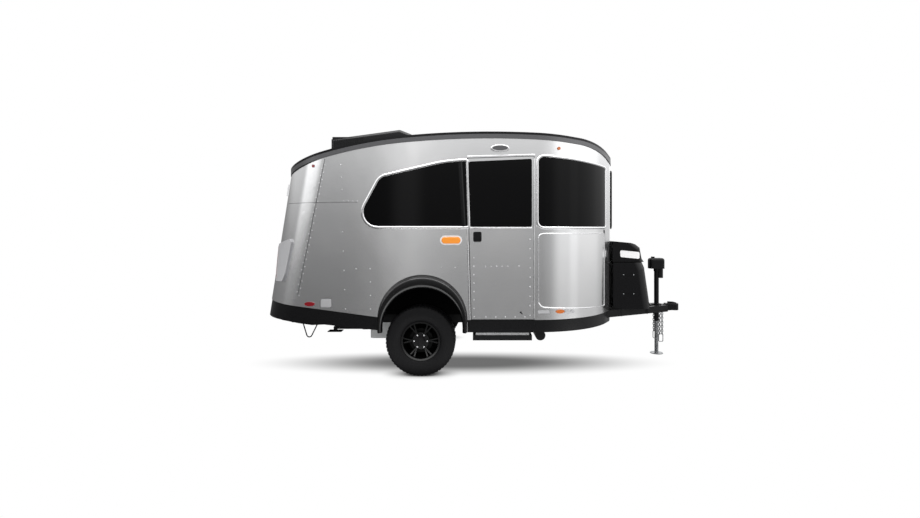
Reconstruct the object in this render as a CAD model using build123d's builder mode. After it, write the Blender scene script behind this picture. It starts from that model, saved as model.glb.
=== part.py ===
"""Travel caravan: single-axle trailer with a riveted aluminium body, in millimetres.

+X points forward to the coupler, +Y to the left side, +Z up. The origin is on the ground,
under the middle of the whole trailer. The right side (-Y) has the door.
"""

from build123d import *
from math import atan2, cos, degrees, radians, sin, sqrt, tan
import os

os.makedirs("parts", exist_ok=True)

# ---------------------------------------------------------------- driving dimensions
# body, plan
half_width = 1020.0
wall = 38.0
nose_x = 1464.0
nose_half_width = 350.0
bend_start_x = 490.0
bend_x = 1060.0
nose_radius = 310.0
tail_low_x = -2402.0
tail_high_x = -2122.0
seam_low_x = -2028.0
seam_high_x = -1630.0
loft_low_z = 600.0
loft_high_z = 2600.0
upper_plan_z = 2150.0
beyond = 3000.0

# body, side elevation
sill_z = 607.0
sill_rise_x = -938.0
sill_tail_z = 805.0
roof_tail = (-2420.0, 2014.0)
roof_rear = (-1692.0, 2295.5)
roof_rear_end = (-788.0, 2457.0)
roof_crown = (122.0, 2491.0)
roof_crown_end = (922.0, 2449.0)
roof_front = (1212.0, 2404.0)
roof_nose = (1500.0, 2276.0)
roof_thickness = 52.0
rail_height = 45.0
roof_trim_height = 70.0
rail_proud = 8.0
rail_lap = 12.0
fit = 0.3

# wheels
axle_x = -712.0
tyre_radius = 366.7
tyre_width = 235.0
tyre_outer_y = 970.0
rim_radius = 207.0
bead_radius = 196.0
rim_half = 76.0
lug_circle_radius = 69.85
lug_count = 6
spoke_pairs = 6
spoke_spread = 13.0
spoke_width = 14.0
spoke_depth = 30.0
hub_radius = 88.0
hub_offset = 30.0
cap_radius = 40.0

# wheel openings in the sides
arch_x = -684.0
flare_z = 610.0
flare_radius = 467.0
lip_z = 520.0
lip_radius = 416.0
flare_width = 50.0
flare_round = 36.0
tub_inner_y = 690.0
tub_sheet = 5.0

# door in the right side
door_front_x = 473.0
door_rear_low_x = -174.0
door_rear_high_x = -217.0
door_low_z = 613.0
door_rear_top_z = 2282.0
door_front_top_z = 2304.0
door_gap = 6.0

# glass
glass_sheet = 6.0
glass_lap = 28.0

# hatch in the tail
hatch_half_width = half_width - 520.0
hatch_low_z = 858.0
hatch_high_z = 1900.0
hatch_corner = 90.0
hatch_proud = 22.0
hatch_gap = 6.0
hatch_lap = 20.0
seal_gap = 0.5
lap_knuckle_radius = 7.0

# chassis
rail_y = 615.0
rail_width = 50.0
rail_depth = 100.0
chassis_rear_x = -2180.0
chassis_front_x = 1040.0
tongue_depth = 80.0
tongue_width = 50.0
tongue_angle = 25.0
coupler_tip_x = 2400.0
jack_x = 2130.0

# stabilisers
stabiliser_x = -1305.0
stabiliser_z = 500.0
stabiliser_y = 860.0

# skirts
skirt_height = 130.0
skirt_tail_height = 175.0
skirt_sheet = 18.0
skirt_inset = 5.0
# the tail skirt curls under the body: side view of its outer face, from its top to its lower edge
curl = [
    (tail_low_x - 16, sill_tail_z - 13),
    (tail_low_x + 5, sill_tail_z - 125),
    (tail_low_x + 74, sill_tail_z - 205),
]

# gas locker
locker_rear_x = 1486.0
locker_half_width = 360.0
locker_split_z = 1155.0
locker_sheet = 5.0

bend_turn = atan2(half_width - nose_half_width, nose_x - bend_x)
bend_radius = (bend_x - bend_start_x) / tan(bend_turn / 2)

pieces = {}


# ---------------------------------------------------------------- shared outlines
def at_height(low, high, z):
    """Value at height z of an edge that runs straight from the low to the high loft section."""
    return low + (high - low) * (z - loft_low_z) / (loft_high_z - loft_low_z)


def sill_height(x):
    """Height of the lower edge of the aluminium at x."""
    if x >= sill_rise_x:
        return sill_z
    slope = (sill_tail_z - sill_z) / (sill_rise_x - tail_low_x)
    return sill_z + slope * (sill_rise_x - x)


def plan_outline(inset, z=upper_plan_z):
    """Closed plan of the body at height z, drawn in by inset."""
    tail_x = at_height(tail_low_x, tail_high_x, z)
    tail_radius = at_height(seam_low_x, seam_high_x, z) - tail_x
    with BuildSketch() as outline:
        Polygon(
            (nose_x, -nose_half_width),
            (nose_x, nose_half_width),
            (bend_x, half_width),
            (tail_x, half_width),
            (tail_x, -half_width),
            (bend_x, -half_width),
            align=None,
        )
        by_x = outline.vertices().group_by(Axis.X)
        fillet(by_x[-1], nose_radius)
        fillet(outline.vertices().filter_by(lambda v: abs(v.X - bend_x) < 1), bend_radius)
        fillet(outline.vertices().filter_by(lambda v: v.X < tail_x + 1), tail_radius)
        if inset:
            offset(amount=-inset, mode=Mode.REPLACE)
    return outline.sketch


def roof_region(low, high):
    """Side-view face between two copies of the roof line, raised by low and high."""
    with BuildSketch(Plane.XZ) as region:
        with BuildLine():
            for lift in (low, high):
                line = [(x, z + lift) for x, z in (
                    roof_tail, roof_rear, roof_rear_end, roof_crown, roof_crown_end, roof_front, roof_nose)]
                ThreePointArc(line[0], line[1], line[2])
                ThreePointArc(line[2], line[3], line[4])
                ThreePointArc(line[4], line[5], line[6])
            Line((roof_tail[0], roof_tail[1] + low), (roof_tail[0], roof_tail[1] + high))
            Line((roof_nose[0], roof_nose[1] + low), (roof_nose[0], roof_nose[1] + high))
        make_face()
    return region.sketch


def side_region():
    """Side-view face of the aluminium body, from its sill to the roof line."""
    with BuildSketch(Plane.XZ) as region:
        with BuildLine():
            ThreePointArc(roof_tail, roof_rear, roof_rear_end)
            ThreePointArc(roof_rear_end, roof_crown, roof_crown_end)
            ThreePointArc(roof_crown_end, roof_front, roof_nose)
            Polyline(
                roof_nose,
                (roof_nose[0], sill_z),
                (sill_rise_x, sill_z),
                (roof_tail[0], sill_height(roof_tail[0])),
                roof_tail,
            )
        make_face()
    return region.sketch


def skirt_region():
    """Side-view face of the skirt band under the sill."""
    tail_x = roof_tail[0]
    with BuildSketch(Plane.XZ) as region:
        with BuildLine():
            Polyline(
                (roof_nose[0], sill_z),
                (sill_rise_x, sill_z),
                (tail_x, sill_height(tail_x)),
                (tail_x, sill_height(tail_x) - skirt_tail_height),
                (sill_rise_x, sill_z - skirt_height),
                (roof_nose[0], sill_z - skirt_height),
                close=True,
            )
        make_face()
    return region.sketch


def full_width(region):
    """Solid wider than the trailer over a side-view face."""
    reach = half_width + 100
    with BuildPart() as slab:
        extrude(to_extrude=region.moved(Location((0, reach, 0))), amount=2 * reach)
    return slab.part


def plan_ring(inset, thickness, low_z, high_z, plan_z=upper_plan_z):
    """Upright wall that follows the plan, its outer face drawn in by inset."""
    with BuildPart() as ring:
        with BuildSketch(Plane.XY.offset(low_z)):
            add(plan_outline(inset, plan_z))
            add(plan_outline(inset + thickness, plan_z), mode=Mode.SUBTRACT)
        extrude(amount=high_z - low_z)
    return ring.part


def tail_section(inset, thickness, z):
    """Plan of the right tail corner at height z, as a quarter ring."""
    seam_x = at_height(seam_low_x, seam_high_x, z)
    radius = seam_x - at_height(tail_low_x, tail_high_x, z)
    with BuildSketch(Plane.XY.offset(z)) as section:
        with BuildLine():
            center = (seam_x, -half_width + radius)
            outer = radius - inset
            inner = outer - thickness
            CenterArc(center, outer, 180, 90)
            CenterArc(center, inner, 180, 90)
            Line((center[0] - outer, center[1]), (center[0] - inner, center[1]))
            Line((center[0], center[1] - outer), (center[0], center[1] - inner))
        make_face()
    return section.sketch


def tail_corner(inset, thickness):
    """Right tail corner over its full height, before it is cut to the side view."""
    with BuildPart() as corner:
        add(tail_section(inset, thickness, loft_low_z - 200))
        add(tail_section(inset, thickness, loft_high_z))
        loft(ruled=True)
    return corner.part


def tail_strip(inset, thickness):
    """Flat tail between the two corners, over its full height."""
    with BuildPart() as strip:
        for z in (loft_low_z - 200, loft_high_z):
            tail_x = at_height(tail_low_x, tail_high_x, z)
            half = half_width - (at_height(seam_low_x, seam_high_x, z) - tail_x)
            with BuildSketch(Plane.XY.offset(z)):
                with Locations((tail_x + inset, 0)):
                    Rectangle(thickness, 2 * half, align=(Align.MIN, Align.CENTER))
        loft(ruled=True)
    return strip.part


def box_between(low, high):
    """Box from its lowest to its highest corner."""
    with BuildPart() as block:
        with Locations(low):
            size = [upper - lower for lower, upper in zip(low, high)]
            Box(*size, align=(Align.MIN, Align.MIN, Align.MIN))
    return block.part


def rod_along_y(x, z, radius, low_y, high_y):
    """Round rod across the trailer."""
    with BuildPart() as rod:
        with BuildSketch(Plane.XZ.offset(-high_y)):
            with Locations((x, z)):
                Circle(radius)
        extrude(amount=high_y - low_y)
    return rod.part


def both_sides(part):
    """Builder that holds a right-hand piece and its mirror image on the left."""
    with BuildPart() as pair:
        add(part)
        mirror(part, about=Plane.XZ)
    return pair


body_envelope = full_width(side_region())
roof_slab = full_width(roof_region(0, roof_thickness))
rail_slab = full_width(roof_region(1, rail_height))
trim_slab = full_width(roof_region(rail_height, roof_trim_height))
skirt_slab = full_width(skirt_region())

# side-view window outlines: corner points (x, z) with the radius of each corner
side_window_corners = [
    (-229, 2258, 12),
    (-456, 2242, 1500),
    (-1124, 2087, 125),
    (-1400, 1576, 151),
    (-211, 1575, 12),
]
door_window_corners = [
    (-200, 2250, 20),
    (452, 2279, 20),
    (452, 1574, 20),
    (-187, 1574, 20),
]
corner_window_corners = [
    (518, 2307, 64),
    (867, 2282, 1500),
    (1332, 2236, 20),
    (1332, 1572, 20),
    (518, 1571, 62),
]
corner_guard_corners = [
    (520, 1504, 55),
    (1313, 1501, 12),
    (1313, 690, 12),
    (520, 740, 80),
]


def side_outline(corners, grow=0.0):
    """Side-view face with rounded corners, grown by an even border."""
    with BuildSketch(Plane.XZ) as face:
        with BuildLine():
            points = [(x, z) for x, z, radius in corners]
            FilletPolyline(*points, radius=[radius for x, z, radius in corners], close=True)
        make_face()
        if grow:
            offset(amount=grow, mode=Mode.REPLACE)
    return face.sketch


def right_side_cutter(corners, grow=0.0):
    """Solid that cuts a side-view outline out of the right half of the body."""
    with BuildPart() as cutter:
        extrude(to_extrude=side_outline(corners, grow), amount=half_width + 100)
    return cutter.part


# ---------------------------------------------------------------- side walls
arch_cutter_radius = lip_radius + 24.0


def side_wall(with_door):
    """Flat side panel on the right: sill and roof line, wheel opening, window, and door opening."""
    wall_front_x = door_front_x + door_gap
    with BuildPart() as panel:
        with BuildSketch(Plane.XZ.offset(half_width - wall)):
            with BuildLine():
                low_z = loft_low_z - 200
                Polyline(
                    (at_height(seam_low_x, seam_high_x, low_z), low_z),
                    (wall_front_x, low_z),
                    (wall_front_x, loft_high_z),
                    (at_height(seam_low_x, seam_high_x, loft_high_z), loft_high_z),
                    close=True,
                )
            make_face()
        extrude(amount=wall)
        add(body_envelope, mode=Mode.INTERSECT)
        with BuildSketch(Plane.XZ.offset(half_width - wall)):
            with Locations((arch_x, lip_z)):
                Circle(arch_cutter_radius)
                Rectangle(2 * arch_cutter_radius, 400, align=(Align.CENTER, Align.MAX))
        extrude(amount=wall, mode=Mode.SUBTRACT)
        add(right_side_cutter(side_window_corners, -glass_lap), mode=Mode.SUBTRACT)
        if with_door:
            with BuildSketch(Plane.XZ.offset(half_width - wall)):
                with BuildLine():
                    slope = (door_rear_low_x - door_rear_high_x) / (door_rear_top_z - door_low_z)
                    Polyline(
                        (door_rear_low_x - door_gap + slope * 100, door_low_z - 100),
                        (wall_front_x, door_low_z - 100),
                        (wall_front_x, door_front_top_z + door_gap),
                        (door_rear_high_x - door_gap, door_rear_top_z + door_gap),
                        close=True,
                    )
                make_face()
            extrude(amount=wall, mode=Mode.SUBTRACT)
    return panel


pieces["side_wall_right"] = side_wall(True)
left_panel = side_wall(False)
with BuildPart() as side_wall_left:
    mirror(left_panel.part, about=Plane.XZ)
pieces["side_wall_left"] = side_wall_left

# ---------------------------------------------------------------- tail: corners, wall and hatch
corner_stock = tail_corner(0, wall)
with BuildPart() as tail_corner_right:
    add(corner_stock)
    add(body_envelope, mode=Mode.INTERSECT)
pieces["tail_corner_right"] = tail_corner_right
with BuildPart() as tail_corner_left:
    mirror(tail_corner_right.part, about=Plane.XZ)
pieces["tail_corner_left"] = tail_corner_left

tail_lean = (tail_high_x - tail_low_x) / (loft_high_z - loft_low_z)
tail_plane = Plane(
    origin=(at_height(tail_low_x, tail_high_x, 0), 0, 0), x_dir=(0, -1, 0), z_dir=(-1, 0, tail_lean))
tail_scale = sqrt(1 + tail_lean**2)
hatch_middle_z = (hatch_low_z + hatch_high_z) / 2
hatch_height = (hatch_high_z - hatch_low_z) * tail_scale

# hinge of the hatch: short knuckles above its lap, in turn on the wall and on the hatch
lap_top = hatch_high_z * tail_scale + hatch_lap
lap_axis_out = lap_knuckle_radius + 1.0
lap_axis_up = lap_top + lap_knuckle_radius + 1.0
lap_axis_x = tail_plane.origin.X + (tail_lean * lap_axis_up - lap_axis_out) / tail_scale
lap_axis_z = (lap_axis_up + tail_lean * lap_axis_out) / tail_scale
lap_knuckle_y = 0.6 * hatch_half_width
lap_knuckle_half = 30.0


def lap_leaf(y, half, low_up, high_up, low_out, high_out):
    """Knuckle on the hatch hinge line with a plate on the tail, at y."""
    with BuildPart() as leaf:
        add(rod_along_y(lap_axis_x, lap_axis_z, lap_knuckle_radius, y - half, y + half))
        with BuildSketch(tail_plane.offset(low_out)):
            with Locations((-y, (low_up + high_up) / 2)):
                Rectangle(2 * half, high_up - low_up)
        extrude(amount=high_out - low_out)
    return leaf.part


strip_stock = tail_strip(0, wall)
with BuildPart() as tail_wall:
    add(strip_stock)
    add(body_envelope, mode=Mode.INTERSECT)
    with BuildSketch(tail_plane.offset(100)):
        with Locations((0, hatch_middle_z * tail_scale)):
            RectangleRounded(2 * hatch_half_width, hatch_height, hatch_corner)
    extrude(amount=-250, mode=Mode.SUBTRACT)
    for side in (-1, 1):
        for edge in (-1, 1):
            middle_y = side * lap_knuckle_y + edge * (lap_knuckle_half + 20.5)
            add(lap_leaf(middle_y, 20, lap_axis_up, lap_axis_up + 28, 0, 5))
pieces["tail_wall"] = tail_wall

hatch_window_half_width = 400.0
hatch_window_height = 400.0
hatch_window_z = 1600.0
with BuildPart() as hatch:
    with BuildSketch(tail_plane.offset(-wall)):
        with Locations((0, hatch_middle_z * tail_scale)):
            RectangleRounded(
                2 * (hatch_half_width - hatch_gap), hatch_height - 2 * hatch_gap, hatch_corner - hatch_gap)
    extrude(amount=wall + seal_gap)
    with BuildSketch(tail_plane.offset(seal_gap)):
        with Locations((0, hatch_middle_z * tail_scale)):
            RectangleRounded(
                2 * (hatch_half_width + hatch_lap), hatch_height + 2 * hatch_lap, hatch_corner + hatch_lap)
    extrude(amount=hatch_proud - seal_gap)
    with BuildSketch(tail_plane.offset(100)):
        with Locations((0, hatch_window_z * tail_scale)):
            RectangleRounded(2 * hatch_window_half_width, hatch_window_height, 60)
    extrude(amount=-250, mode=Mode.SUBTRACT)
    for side in (-1, 1):
        add(lap_leaf(side * lap_knuckle_y, lap_knuckle_half, lap_top - 4, lap_axis_up, 4, 12))
pieces["hatch"] = hatch

with BuildPart() as hatch_glass:
    with BuildSketch(tail_plane.offset(hatch_proud)):
        with Locations((0, hatch_window_z * tail_scale)):
            RectangleRounded(2 * (hatch_window_half_width + 20), hatch_window_height + 40, 70)
    extrude(amount=glass_sheet)
pieces["hatch_glass"] = hatch_glass

with BuildPart() as hatch_handle:
    with BuildSketch(tail_plane.offset(hatch_proud)):
        with Locations((0, (hatch_low_z + 120) * tail_scale)):
            RectangleRounded(180, 60, 20)
    extrude(amount=25.2)
pieces["hatch_handle"] = hatch_handle

# ---------------------------------------------------------------- front: corners and middle
front_joint_x = 1388.0
corner_front_x = door_front_x + door_gap
front_stock = plan_ring(0, wall, sill_z, loft_high_z)
with BuildPart() as front_corner_right:
    add(front_stock)
    add(body_envelope, mode=Mode.INTERSECT)
    add(box_between((corner_front_x, -half_width - 1, 0), (front_joint_x, 0, 3000)), mode=Mode.INTERSECT)
    add(right_side_cutter(corner_window_corners, -glass_lap), mode=Mode.SUBTRACT)
pieces["front_corner_right"] = front_corner_right
with BuildPart() as front_corner_left:
    mirror(front_corner_right.part, about=Plane.XZ)
pieces["front_corner_left"] = front_corner_left

front_window_half_width = 300.0
front_window_low_z = 1580.0
front_window_high_z = 2216.0
with BuildPart() as front_wall:
    add(front_stock)
    add(body_envelope, mode=Mode.INTERSECT)
    add(box_between((front_joint_x, -half_width, 0), (nose_x + 10, half_width, 3000)), mode=Mode.INTERSECT)
    add(
        box_between(
            (nose_x - 2 * wall, -front_window_half_width + 30, front_window_low_z),
            (nose_x + 10, front_window_half_width - 30, front_window_high_z),
        ),
        mode=Mode.SUBTRACT,
    )
pieces["front_wall"] = front_wall

# ---------------------------------------------------------------- roof and its edge rail
with BuildPart() as roof_shell:
    with BuildSketch(Plane.XY.offset(1800)):
        add(plan_outline(rail_lap + fit))
    extrude(amount=900)
    add(roof_slab, mode=Mode.INTERSECT)
pieces["roof_shell"] = roof_shell

rail_stock = plan_ring(-rail_proud, rail_proud + rail_lap, 1800, 2700)
with BuildPart() as roof_rail:
    add(rail_stock)
    add(rail_slab, mode=Mode.INTERSECT)
pieces["roof_rail"] = roof_rail
with BuildPart() as roof_trim:
    add(rail_stock)
    add(trim_slab, mode=Mode.INTERSECT)
pieces["roof_trim"] = roof_trim

# ---------------------------------------------------------------- floor
floor_thickness = 36.0
tub_half_length = arch_cutter_radius + 2.0
with BuildPart() as floor_panel:
    with BuildSketch(Plane.XY.offset(sill_z)):
        add(plan_outline(wall + fit, loft_low_z + 150))
        for side in (-1, 1):
            with Locations((arch_x, side * (tub_inner_y + half_width) / 2)):
                Rectangle(2 * tub_half_length, half_width - tub_inner_y, mode=Mode.SUBTRACT)
    extrude(amount=floor_thickness)
    floor_rear_x = curl[-1][0] + skirt_sheet
    add(box_between((floor_rear_x, -half_width, 0), (beyond, half_width, beyond)), mode=Mode.INTERSECT)
pieces["floor_panel"] = floor_panel

# ---------------------------------------------------------------- wheel tubs and flares
with BuildPart() as wheel_tub_right:
    tub_depth = half_width - wall - tub_inner_y - fit
    tub_width = 2 * arch_cutter_radius + 2
    for plate, reach in ((tub_sheet, tub_depth), (arch_cutter_radius, tub_sheet)):
        with BuildSketch(Plane.XZ.offset(tub_inner_y)):
            with Locations((arch_x, lip_z)):
                Circle(arch_cutter_radius)
                if plate < arch_cutter_radius:
                    Circle(arch_cutter_radius - plate, mode=Mode.SUBTRACT)
                Rectangle(tub_width, sill_z - lip_z, align=(Align.CENTER, Align.MIN), mode=Mode.SUBTRACT)
                Rectangle(tub_width, lip_z, align=(Align.CENTER, Align.MAX), mode=Mode.SUBTRACT)
        extrude(amount=reach)
pieces["wheel_tubs"] = both_sides(wheel_tub_right.part)

with BuildPart() as flare_stock:
    with BuildSketch(Plane.XZ.offset(half_width - 14)):
        with Locations((arch_x, flare_z)):
            Circle(flare_radius)
        with Locations((arch_x, lip_z)):
            Circle(lip_radius, mode=Mode.SUBTRACT)
        with Locations((arch_x, 0)):
            Rectangle(1200, sill_z - skirt_height, align=(Align.CENTER, Align.MIN), mode=Mode.SUBTRACT)
    extrude(amount=flare_width + 14)
with BuildPart() as flare_right:
    add(flare_stock.part)
    rim_edges = flare_right.edges().filter_by(GeomType.CIRCLE)
    outer_edges = rim_edges.filter_by(lambda e: abs(e.radius - flare_radius) < 1).sort_by(Axis.Y)[:1]
    fillet(outer_edges, flare_round)
    add(
        box_between((arch_x - 600, -half_width, sill_z), (arch_x + 600, -half_width + 30, sill_z + 600)),
        mode=Mode.SUBTRACT,
    )
pieces["fender_flares"] = both_sides(flare_right.part)

# ---------------------------------------------------------------- skirts
skirt_stock = plan_ring(skirt_inset, skirt_sheet, 300, sill_z, loft_low_z)
skirt_front_x = corner_front_x


def tongue_rails(width, depth, top_z, rear_x):
    """The two rails of the A-frame, meeting at the coupler."""
    length = (coupler_tip_x - 160 - rear_x) / cos(radians(tongue_angle))
    with BuildPart() as rails:
        for side in (-1, 1):
            start = Plane(
                origin=(coupler_tip_x - 160, side * 36, top_z),
                x_dir=(-cos(radians(tongue_angle)), side * sin(radians(tongue_angle)), 0),
                z_dir=(0, 0, 1),
            )
            with BuildSketch(start):
                Rectangle(length + 60, width, align=(Align.MIN, Align.CENTER))
            extrude(amount=-depth)
    return rails.part


tongue_clear = tongue_rails(tongue_width + 12, tongue_depth + 12, sill_z + 6, chassis_front_x)
with BuildPart() as skirt_front:
    add(skirt_stock)
    add(skirt_slab, mode=Mode.INTERSECT)
    add(box_between((skirt_front_x, -half_width, 0), (nose_x + 10, half_width, 700)), mode=Mode.INTERSECT)
    add(tongue_clear, mode=Mode.SUBTRACT)
pieces["skirt_front"] = skirt_front

arch_clear_radius = flare_radius + 1.0
with BuildPart() as skirt_right:
    with BuildSketch(Plane.XZ.offset(half_width - skirt_inset - skirt_sheet)):
        with BuildLine():
            skirt_top_z = sill_z + 400
            Polyline(
                (skirt_front_x - fit, 0),
                (skirt_front_x - fit, sill_z),
                (at_height(seam_low_x, seam_high_x, skirt_top_z) + fit, skirt_top_z),
                (at_height(seam_low_x, seam_high_x, 0) + fit, 0),
                close=True,
            )
        make_face()
        with Locations((arch_x, flare_z)):
            Circle(arch_clear_radius, mode=Mode.SUBTRACT)
            Rectangle(2 * arch_clear_radius, 700, align=(Align.CENTER, Align.MAX), mode=Mode.SUBTRACT)
    extrude(amount=skirt_sheet)
    add(skirt_slab, mode=Mode.INTERSECT)
pieces["side_skirts"] = both_sides(skirt_right.part)


def under_curl(shift):
    """All that lies behind and below the curl, shifted forward and up."""
    with BuildSketch(Plane.XZ) as region:
        with BuildLine():
            top, middle, end = [(x + shift, z + shift) for x, z in curl]
            ThreePointArc(top, middle, end)
            Polyline(end, (end[0], 0), (-beyond, 0), (-beyond, top[1]), top)
        make_face()
    return full_width(region.sketch)


def tail_stock(thickness):
    """Both tail corners and the flat tail between them, in the skirt band."""
    corner = tail_corner(skirt_inset, thickness)
    with BuildPart() as stock:
        add(tail_strip(skirt_inset, thickness))
        add(corner)
        mirror(corner, about=Plane.XZ)
        add(skirt_slab, mode=Mode.INTERSECT)
        add(under_curl(0), mode=Mode.SUBTRACT)
    return stock.part


with BuildPart() as skirt_curl:
    add(tail_stock(0.25 * half_width))
    add(under_curl(0.7 * skirt_sheet), mode=Mode.INTERSECT)
with BuildPart() as skirt_tail:
    add(tail_stock(skirt_sheet))
    add(skirt_curl.part)
pieces["skirt_tail"] = skirt_tail

# ---------------------------------------------------------------- side door
with BuildPart() as side_door:
    with BuildSketch(Plane.XZ.offset(half_width - wall)):
        with BuildLine():
            Polyline(
                (door_rear_low_x, door_low_z),
                (door_front_x, door_low_z),
                (door_front_x, door_front_top_z),
                (door_rear_high_x, door_rear_top_z),
                close=True,
            )
        make_face()
    extrude(amount=wall)
    add(right_side_cutter(door_window_corners, -glass_lap), mode=Mode.SUBTRACT)


def side_glass(corners):
    """Flat pane bonded on the outer face of the right side."""
    with BuildPart() as pane:
        extrude(to_extrude=side_outline(corners).moved(Location((0, -half_width, 0))), amount=glass_sheet)
    return pane.part


door_pane = side_glass(door_window_corners)
with BuildPart() as door_glass:
    add(door_pane)
pieces["door_glass"] = door_glass

side_pane = side_glass(side_window_corners)
glass_stock = plan_ring(-glass_sheet, glass_sheet, 1400, 2500)
with BuildPart() as corner_glass:
    add(glass_stock)
    add(box_between((corner_front_x, -half_width - 20, 0), (front_joint_x, 0, 3000)), mode=Mode.INTERSECT)
    add(right_side_cutter(corner_window_corners), mode=Mode.INTERSECT)
with BuildPart() as fixed_windows:
    for pane in (side_pane, corner_glass.part):
        add(pane)
        mirror(pane, about=Plane.XZ)
pieces["fixed_windows"] = fixed_windows

front_glass_proud = 24.0
with BuildPart() as front_glass:
    with BuildSketch(Plane.YZ.offset(nose_x)):
        with Locations((0, (front_window_low_z + front_window_high_z) / 2)):
            RectangleRounded(2 * front_window_half_width, front_window_high_z - front_window_low_z + 60, 40)
    extrude(amount=front_glass_proud)
pieces["front_glass"] = front_glass

# door latch: recessed black handle on the rear side of the door
with BuildPart() as door_latch:
    with BuildSketch(Plane.XZ.offset(half_width)):
        with Locations((-113, 1470)):
            RectangleRounded(86, 104, 16)
    extrude(amount=14)
    with BuildSketch(Plane.XZ.offset(half_width + 14)):
        with Locations((-113, 1452)):
            RectangleRounded(64, 34, 10)
    extrude(amount=10)
    with BuildSketch(Plane.XZ.offset(half_width)):
        with Locations((door_front_x - 137, door_low_z + 74)):
            Circle(9)
    extrude(amount=10)
    with BuildSketch(Plane.XZ.offset(half_width + 10)):
        with Locations((door_front_x - 130, door_low_z + 66)):
            SlotCenterToCenter(20, 9, rotation=-50)
    extrude(amount=5)
pieces["door_latch"] = door_latch

# door hinge: a slim riveted strip in front of the door, with knuckles in turn on the strip and on the door
hinge_x = door_front_x + door_gap / 2
hinge_y = half_width + 7.0
hinge_heights = (760.0, 1460.0, 2160.0)
knuckle_radius = 6.0
knuckle_height = 80.0
hinge_strip_sheet = 3.0
hinge_strip_width = 32.0
hinge_strip_low_z = door_low_z + 12
hinge_strip_high_z = door_rear_top_z


def hinge_leaf(reach, low, high):
    """Plate and knuckle of one hinge part, reaching from the hinge line by reach along X."""
    with BuildPart() as leaf:
        with BuildSketch(Plane.XY.offset(low)):
            with Locations((hinge_x, -hinge_y)):
                Circle(knuckle_radius)
            with Locations((hinge_x + reach / 2, -half_width)):
                Rectangle(abs(reach), hinge_strip_sheet, align=(Align.CENTER, Align.MAX))
        extrude(amount=high - low)
    return leaf.part


with BuildPart() as hinged_door:
    add(side_door.part)
    for z in hinge_heights:
        add(hinge_leaf(-24, z - knuckle_height / 2, z + knuckle_height / 2))
pieces["side_door"] = hinged_door
knuckle_ends = [hinge_strip_low_z]
for z in hinge_heights:
    knuckle_ends += [z - knuckle_height / 2 - 0.5, z + knuckle_height / 2 + 0.5]
knuckle_ends.append(hinge_strip_high_z)
with BuildPart() as door_hinge_plates:
    add(
        box_between(
            (corner_front_x + 4, -half_width - hinge_strip_sheet, hinge_strip_low_z),
            (corner_front_x + hinge_strip_width, -half_width, hinge_strip_high_z),
        )
    )
    for low, high in zip(knuckle_ends[::2], knuckle_ends[1::2]):
        add(hinge_leaf(hinge_strip_width, low, high))
pieces["door_hinge_plates"] = door_hinge_plates

# front guards: thin polished plates on the lower front corners
guard_sheet = 3.0
guard_stock = plan_ring(-guard_sheet, guard_sheet, 600, 1700)
with BuildPart() as front_guard_right:
    add(guard_stock)
    add(box_between((corner_front_x, -half_width - 20, 0), (front_joint_x, 0, 3000)), mode=Mode.INTERSECT)
    add(right_side_cutter(corner_guard_corners), mode=Mode.INTERSECT)
pieces["front_guards"] = both_sides(front_guard_right.part)

# ---------------------------------------------------------------- chassis
rail_bottom_z = sill_z - rail_depth
rear_member_x = -1180.0
cross_member_x = [
    chassis_rear_x, -1700.0, rear_member_x, axle_x + 130.0, -60.0, 520.0, chassis_front_x - rail_width,
]
outrigger_x = [stabiliser_x, -60.0, 520.0]
# rod loop under the right rail, near the tail
loop_points = [(-2072.0, rail_bottom_z + 6), (-2003.0, 289.0), (-1891.0, rail_bottom_z + 6)]
loop_start = (loop_points[1][0] - loop_points[0][0], 0, loop_points[1][1] - loop_points[0][1])
with BuildPart() as chassis_frame:
    for side in (-1, 1):
        with Locations((chassis_rear_x, side * rail_y, rail_bottom_z)):
            rail_length = chassis_front_x - chassis_rear_x
            Box(rail_length, rail_width, rail_depth, align=(Align.MIN, Align.CENTER, Align.MIN))
    for x in cross_member_x:
        with Locations((x, 0, sill_z - 80)):
            Box(rail_width, 2 * rail_y, 80, align=(Align.MIN, Align.CENTER, Align.MIN))
    for x in outrigger_x:
        with Locations((x, 0, sill_z - 60)):
            Box(rail_width, 2 * (half_width - 80), 60, align=(Align.CENTER, Align.CENTER, Align.MIN))
    for side in (-1, 1):
        for y in (-22, 22):
            with Locations((stabiliser_x, side * stabiliser_y + y, stabiliser_z - 20)):
                Box(60, 6, sill_z - 60 - stabiliser_z + 20, align=(Align.CENTER, Align.CENTER, Align.MIN))
        with BuildSketch(Plane.XZ.offset(-side * stabiliser_y)):
            with Locations((stabiliser_x, stabiliser_z)):
                Circle(8)
        extrude(amount=22, both=True)
    with BuildLine():
        FilletPolyline(*[(x, -rail_y, z) for x, z in loop_points], radius=30)
    with BuildSketch(Plane(origin=(loop_points[0][0], -rail_y, loop_points[0][1]), z_dir=loop_start)):
        Circle(6.5)
    sweep()
pieces["chassis_frame"] = chassis_frame

tongue_stock = tongue_rails(tongue_width, tongue_depth, sill_z, chassis_front_x)
jack_tube_radius = 28.5
with BuildPart() as a_frame:
    add(tongue_stock)
    add(box_between((chassis_front_x, -half_width, 0), (beyond, half_width, beyond)), mode=Mode.INTERSECT)
    with Locations((jack_x, 0, sill_z - 6)):
        Box(150, 170, 6, align=(Align.CENTER, Align.CENTER, Align.MIN))
        Hole(jack_tube_radius + fit)
    with Locations((locker_rear_x + 60, 0, sill_z - tongue_depth)):
        Box(40, 760, tongue_depth, align=(Align.MIN, Align.CENTER, Align.MIN))
    with Locations((locker_rear_x + 420, 0, sill_z - tongue_depth)):
        Box(40, 430, tongue_depth, align=(Align.MIN, Align.CENTER, Align.MIN))
pieces["a_frame"] = a_frame

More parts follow.
